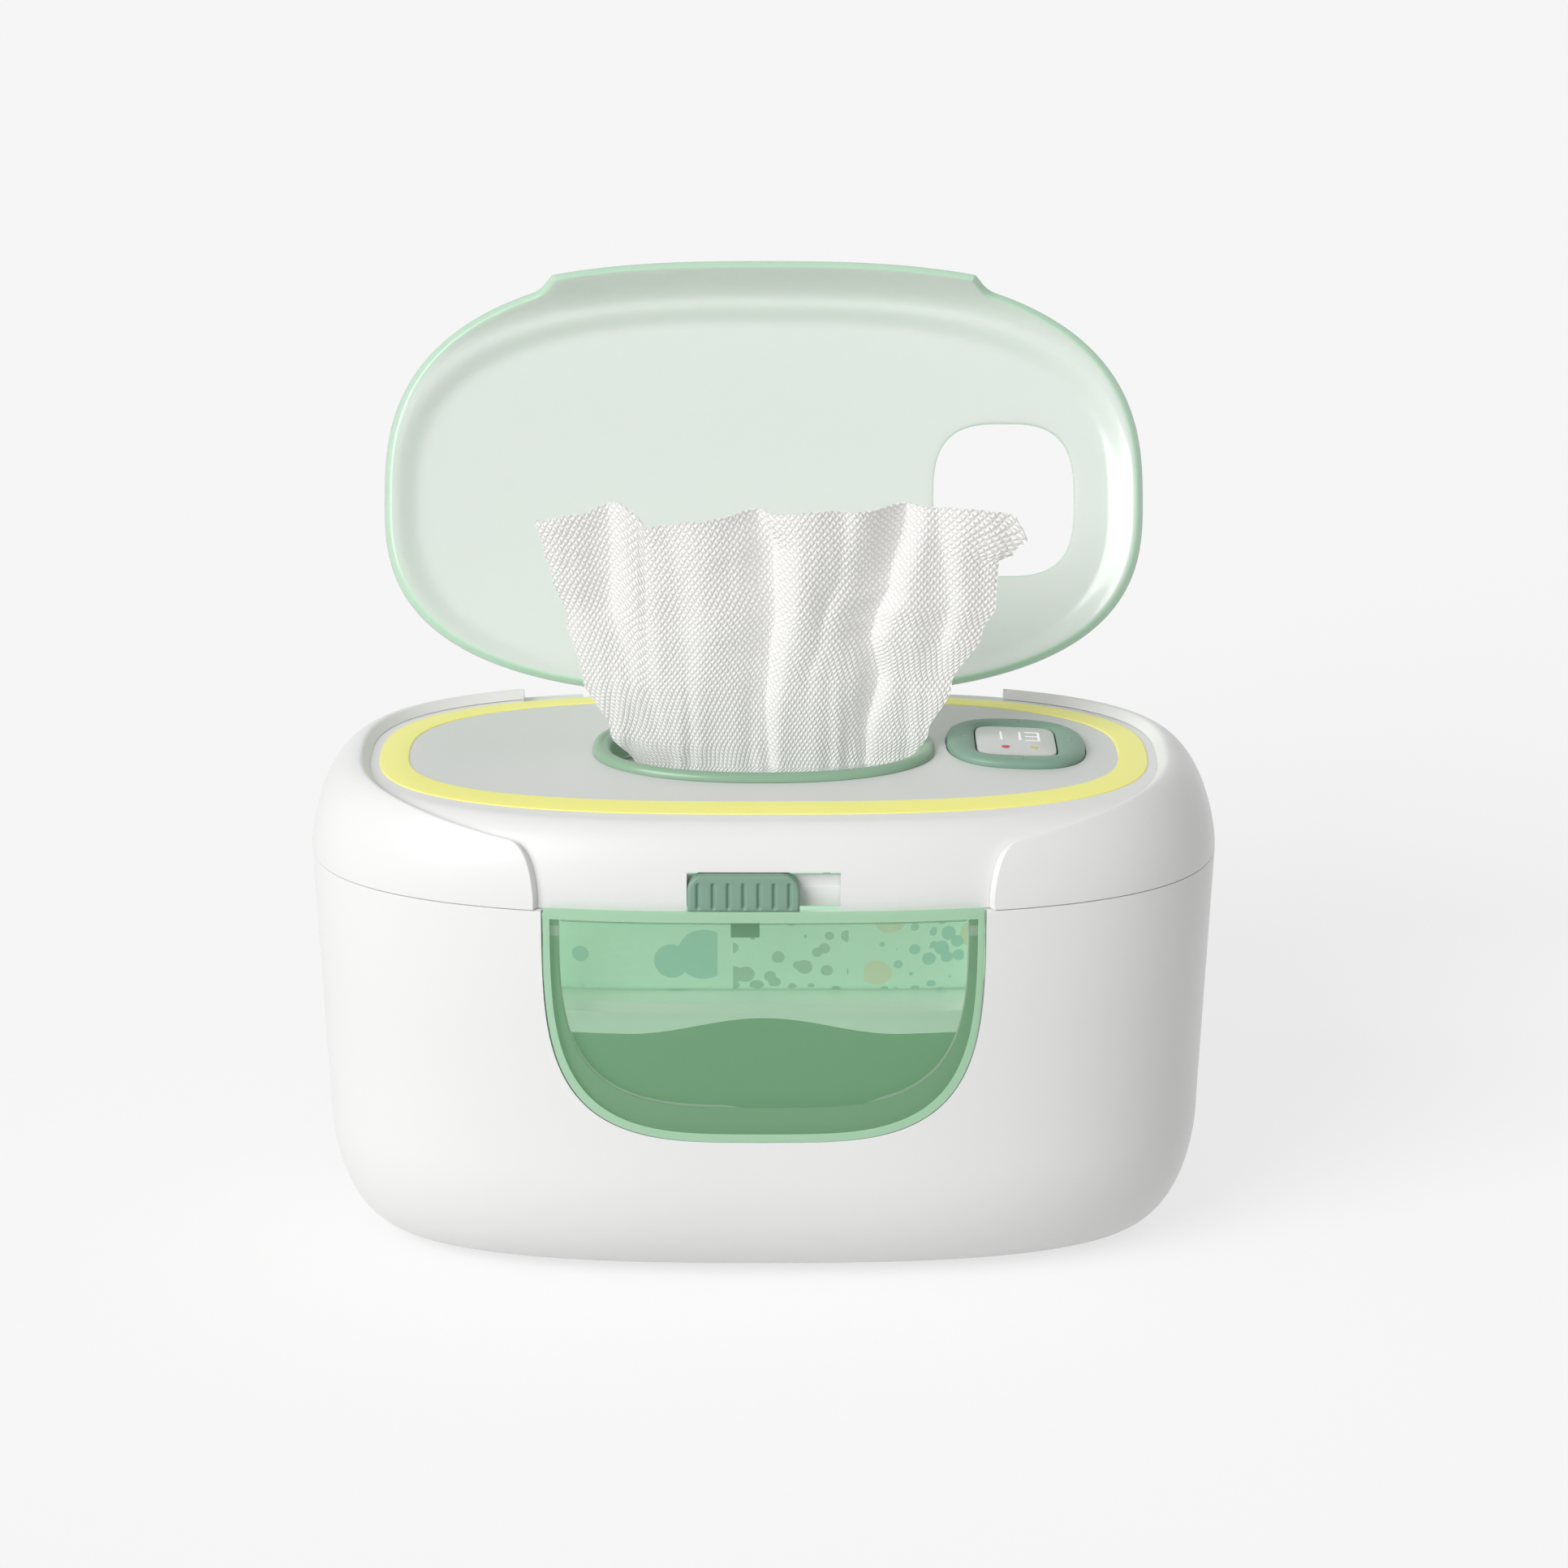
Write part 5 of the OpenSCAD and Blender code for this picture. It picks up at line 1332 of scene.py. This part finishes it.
class WARMER_OT_wipe(bpy.types.Operator):
    """The part of a pressed wipe that stands out of the outlet, in soft folds"""
    bl_idname = "warmer.wipe"
    bl_label = "Wipe"

    def execute(self, context):
        # Half widths in millimetres by height, 0 at the foot and 1 at the top edge
        left = [(0, 24), (.04, 28), (.08, 34), (.19, 40.7), (.41, 48), (.62, 52), (.78, 55.6),
                (.9, 58), (1, 60)]
        right = [(0, 24), (.04, 29), (.09, 38.5), (.2, 43.5), (.37, 49.6), (.56, 57.5), (.66, 61),
                 (1, 62.3)]
        # How far the upper right corner curls out past that edge
        corner = [(.82, 0), (.86, 3.7), (.93, 6.7), (1, 3.7)]
        # Height of the top edge across the wipe
        edge = [(-62, 193), (-60, 193.3), (-49, 195.1), (-38, 198.4), (-34, 196.3), (-30.5, 192.6),
                (-26, 193.4), (-18, 194.8), (0, 196.6), (13.6, 198.4), (25, 197.8), (36, 198),
                (54, 198.4), (62, 197.4), (67, 196), (70, 194)]

        def read(table, v):
            for (a, p), (b, q) in zip(table, table[1:]):
                if v <= b:
                    f = max(0.0, (v - a) / (b - a))
                    return p + (q - p) * f * f * (3 - 2 * f)
            return table[-1][1]
        # Valleys between the folds: place by height, widths to the left and to the right of the bottom,
        # depth, and the heights at which a valley starts and is full
        valleys = [(((0, -30), (.4, -36.5), (.66, -40.5), (1, -41)), 8, 4.5, 7.0, .3, .75),
                   (((0, 2.3), (.3, 0.4), (.46, 1.4), (.66, 3.4), (.85, 2.6), (1, -1.5)),
                    9.5, 3.0, 10.0, -.3, .5),
                   (((0, 26), (.2, 27), (.4, 30), (.54, 28), (.61, 29.4), (.71, 33.0), (1, 37.3)),
                    7.5, 3.2, 8.5, -.3, .4),
                   (((0, 8), (.4, 11.5), (.55, 14.4), (.8, 19.9), (1, 21)), 4.5, 3.2, 1.9, .2, .5),
                   (((0, 40), (.46, 46), (.66, 48.6), (1, 45)), 6.5, 3.4, 3.0, .25, .6),
                   (((0, -27), (.17, -27.3), (.46, -30.4), (1, -33)), 4.5, 2.6, 1.2, -.4, .1),
                   (((0, -17), (.46, -21), (1, -24)), 6.5, 4.4, 1.4, -.4, .1)]
        z0 = 122.4
        bm = bmesh.new()
        layer = bm.loops.layers.uv.new("cloth")
        bmesh.ops.create_grid(bm, x_segments=260, y_segments=130, size=1)
        for face in bm.faces:
            for loop in face.loops:
                loop[layer].uv = ((loop.vert.co.x + 1) * 68 * MM, (loop.vert.co.y + 1) * 38 * MM)
        for vert in bm.verts:
            u, v = (vert.co.x + 1) / 2, (vert.co.y + 1) / 2
            lo, hi = -read(left, v), read(right, v)
            x = lo + (hi - lo) * u + read(corner, v) * max(0.0, (u - 0.86) / 0.14) ** 2
            y = -9.0 + 2.0 * v + (5 + 7 * v) * (2 * u - 0.95) ** 2 * (1.0 if u < 0.475 else 0.45)
            for path, left_side, right_side, depth, start, full in valleys:
                gap = x - read(path, v) - 0.8 * noise.noise(Vector((path[0][1], v * 3, 4)))
                gap /= (left_side if gap < 0 else right_side) * (0.45 + 0.6 * v)
                rise = max(0.0, min(1.0, (v - start) / (full - start)))
                y += (depth * (0.25 + 0.75 * v) * rise * rise * (3 - 2 * rise)
                      * math.exp(-abs(gap) ** 1.6))
            for k, (size, high) in enumerate(((0.05, 3.0), (0.12, 1.3), (0.4, 0.16))):
                y += high * v ** 0.5 * noise.noise(Vector((x * size, v * 60 * size * 0.5, 9 + 3 * k)))
            y += 0.5 * (1 - v) ** 3 * math.sin(x * 0.9 + 1.5 * math.sin(x * 0.31))
            z = z0 + v * (read(edge, x) + 0.25 * math.sin(x * 4.3) - z0)
            if x > 56 and v > 0.7:
                y -= 4.5 * ((x - 56) / 13 * (v - 0.7) / 0.3) ** 1.5
            vert.co = Vector((x, y, z)) * MM
        made = make("wipe", bm, "wipe_cloth", "top_cover", ["wipe_sheet"], 80)
        thick = made.modifiers.new("cloth", "SOLIDIFY")
        thick.thickness, thick.offset = 0.5 * MM, 0
        bake_modifiers(made)
        shade(made, 80)
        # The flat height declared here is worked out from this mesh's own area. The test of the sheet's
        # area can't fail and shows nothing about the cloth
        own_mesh(made)
        return {"FINISHED"}


class WARMER_OT_stage(bpy.types.Operator):
    """Camera, floor, world and lamps"""
    bl_idname = "warmer.stage"
    bl_label = "Stage"

    def execute(self, context):
        scene = context.scene
        eye = bpy.data.cameras.new("photo_camera")
        eye.sensor_width, eye.lens = 36, FOCAL_PX / PHOTO_PX * 36
        eye.shift_x = SHIFT_PX / PHOTO_PX
        eye.clip_start, eye.clip_end = 0.01, 50
        camera = bpy.data.objects.new("photo_camera", eye)
        camera.location = CAMERA_AT
        camera.rotation_euler = (CAMERA_TILT, 0, 0)
        scene.collection.objects.link(camera)
        scene.camera = camera
        bm = bmesh.new()
        bmesh.ops.create_grid(bm, x_segments=1, y_segments=1, size=30)
        mesh = bpy.data.meshes.new("floor")
        bm.to_mesh(mesh)
        bm.free()
        floor = bpy.data.objects.new("floor", mesh)
        scene.collection.objects.link(floor)
        floor.data.materials.append(floor_finish())
        world = bpy.data.worlds.new("studio")
        scene.world = world
        world.use_nodes = True
        t = world.node_tree
        back = t.nodes["Background"]
        back.inputs["Color"].default_value = (1, 1, 1, 1)
        more = math_node(t, "MULTIPLY", seen_directly(t), WORLD_SEEN - WORLD_LIGHT)
        level = math_node(t, "ADD", WORLD_LIGHT, more)
        t.links.new(level, back.inputs["Strength"])
        for name, kind, energy, size, turn in LAMPS:
            lamp = bpy.data.lights.new(name, kind)
            lamp.energy, lamp.angle = energy, math.radians(size)
            holder = bpy.data.objects.new(name, lamp)
            holder.rotation_euler = Vector(turn).to_track_quat("Z", "Y").to_euler()
            scene.collection.objects.link(holder)
        scene.view_settings.view_transform = "Standard"
        return {"FINISHED"}


class WARMER_OT_cad_finishes(bpy.types.Operator):
    """Finishes of the parts that keep their own shape"""
    bl_idname = "warmer.cad_finishes"
    bl_label = "Finishes of kept parts"

    def execute(self, context):
        slots = {row["node"]: row["material_slot"] for row in frame["record"]["subparts"]}
        for name, part in frame["nodes"].items():
            if part.hide_render:
                continue
            chosen = slots[name]
            chosen = {"base_plate": "plain_grey", "window_gasket": "seal_pale"}.get(name, chosen)
            part.data.materials.clear()
            part.data.materials.append(material(chosen))
        return {"FINISHED"}


class WARMER_PT_panel(bpy.types.Panel):
    """Lists the warmer's pieces, sizes and colours"""
    bl_idname = "WARMER_PT_panel"
    bl_label = "Wipe warmer"
    bl_space_type = "VIEW_3D"
    bl_region_type = "UI"
    bl_category = "Warmer"

    def draw(self, context):
        for piece in STEPS:
            self.layout.operator(piece.bl_idname)
        for holder in (context.scene.warmer_sizes, context.scene.warmer_colours):
            box = self.layout.box()
            for key in holder.__annotations__:
                box.prop(holder, key)


STEPS = (WARMER_OT_stage, WARMER_OT_body, WARMER_OT_window, WARMER_OT_guard, WARMER_OT_bin,
         WARMER_OT_springs, WARMER_OT_pack, WARMER_OT_cover, WARMER_OT_deck, WARMER_OT_ring,
         WARMER_OT_outlet, WARMER_OT_keys, WARMER_OT_display, WARMER_OT_lid, WARMER_OT_slide,
         WARMER_OT_wipe, WARMER_OT_cad_finishes)
CLASSES = (WarmerSizes, WarmerColours, *STEPS, WARMER_PT_panel)


def register():
    for one in CLASSES:
        bpy.utils.register_class(one)
    bpy.types.Scene.warmer_sizes = PointerProperty(type=WarmerSizes)
    bpy.types.Scene.warmer_colours = PointerProperty(type=WarmerColours)


def unregister():
    del bpy.types.Scene.warmer_sizes
    del bpy.types.Scene.warmer_colours
    for one in reversed(CLASSES):
        bpy.utils.unregister_class(one)


def main():
    register()
    for step in STEPS:
        area, name = step.bl_idname.split(".")
        getattr(getattr(bpy.ops, area), name)()


if __name__ == "__main__":
    main()
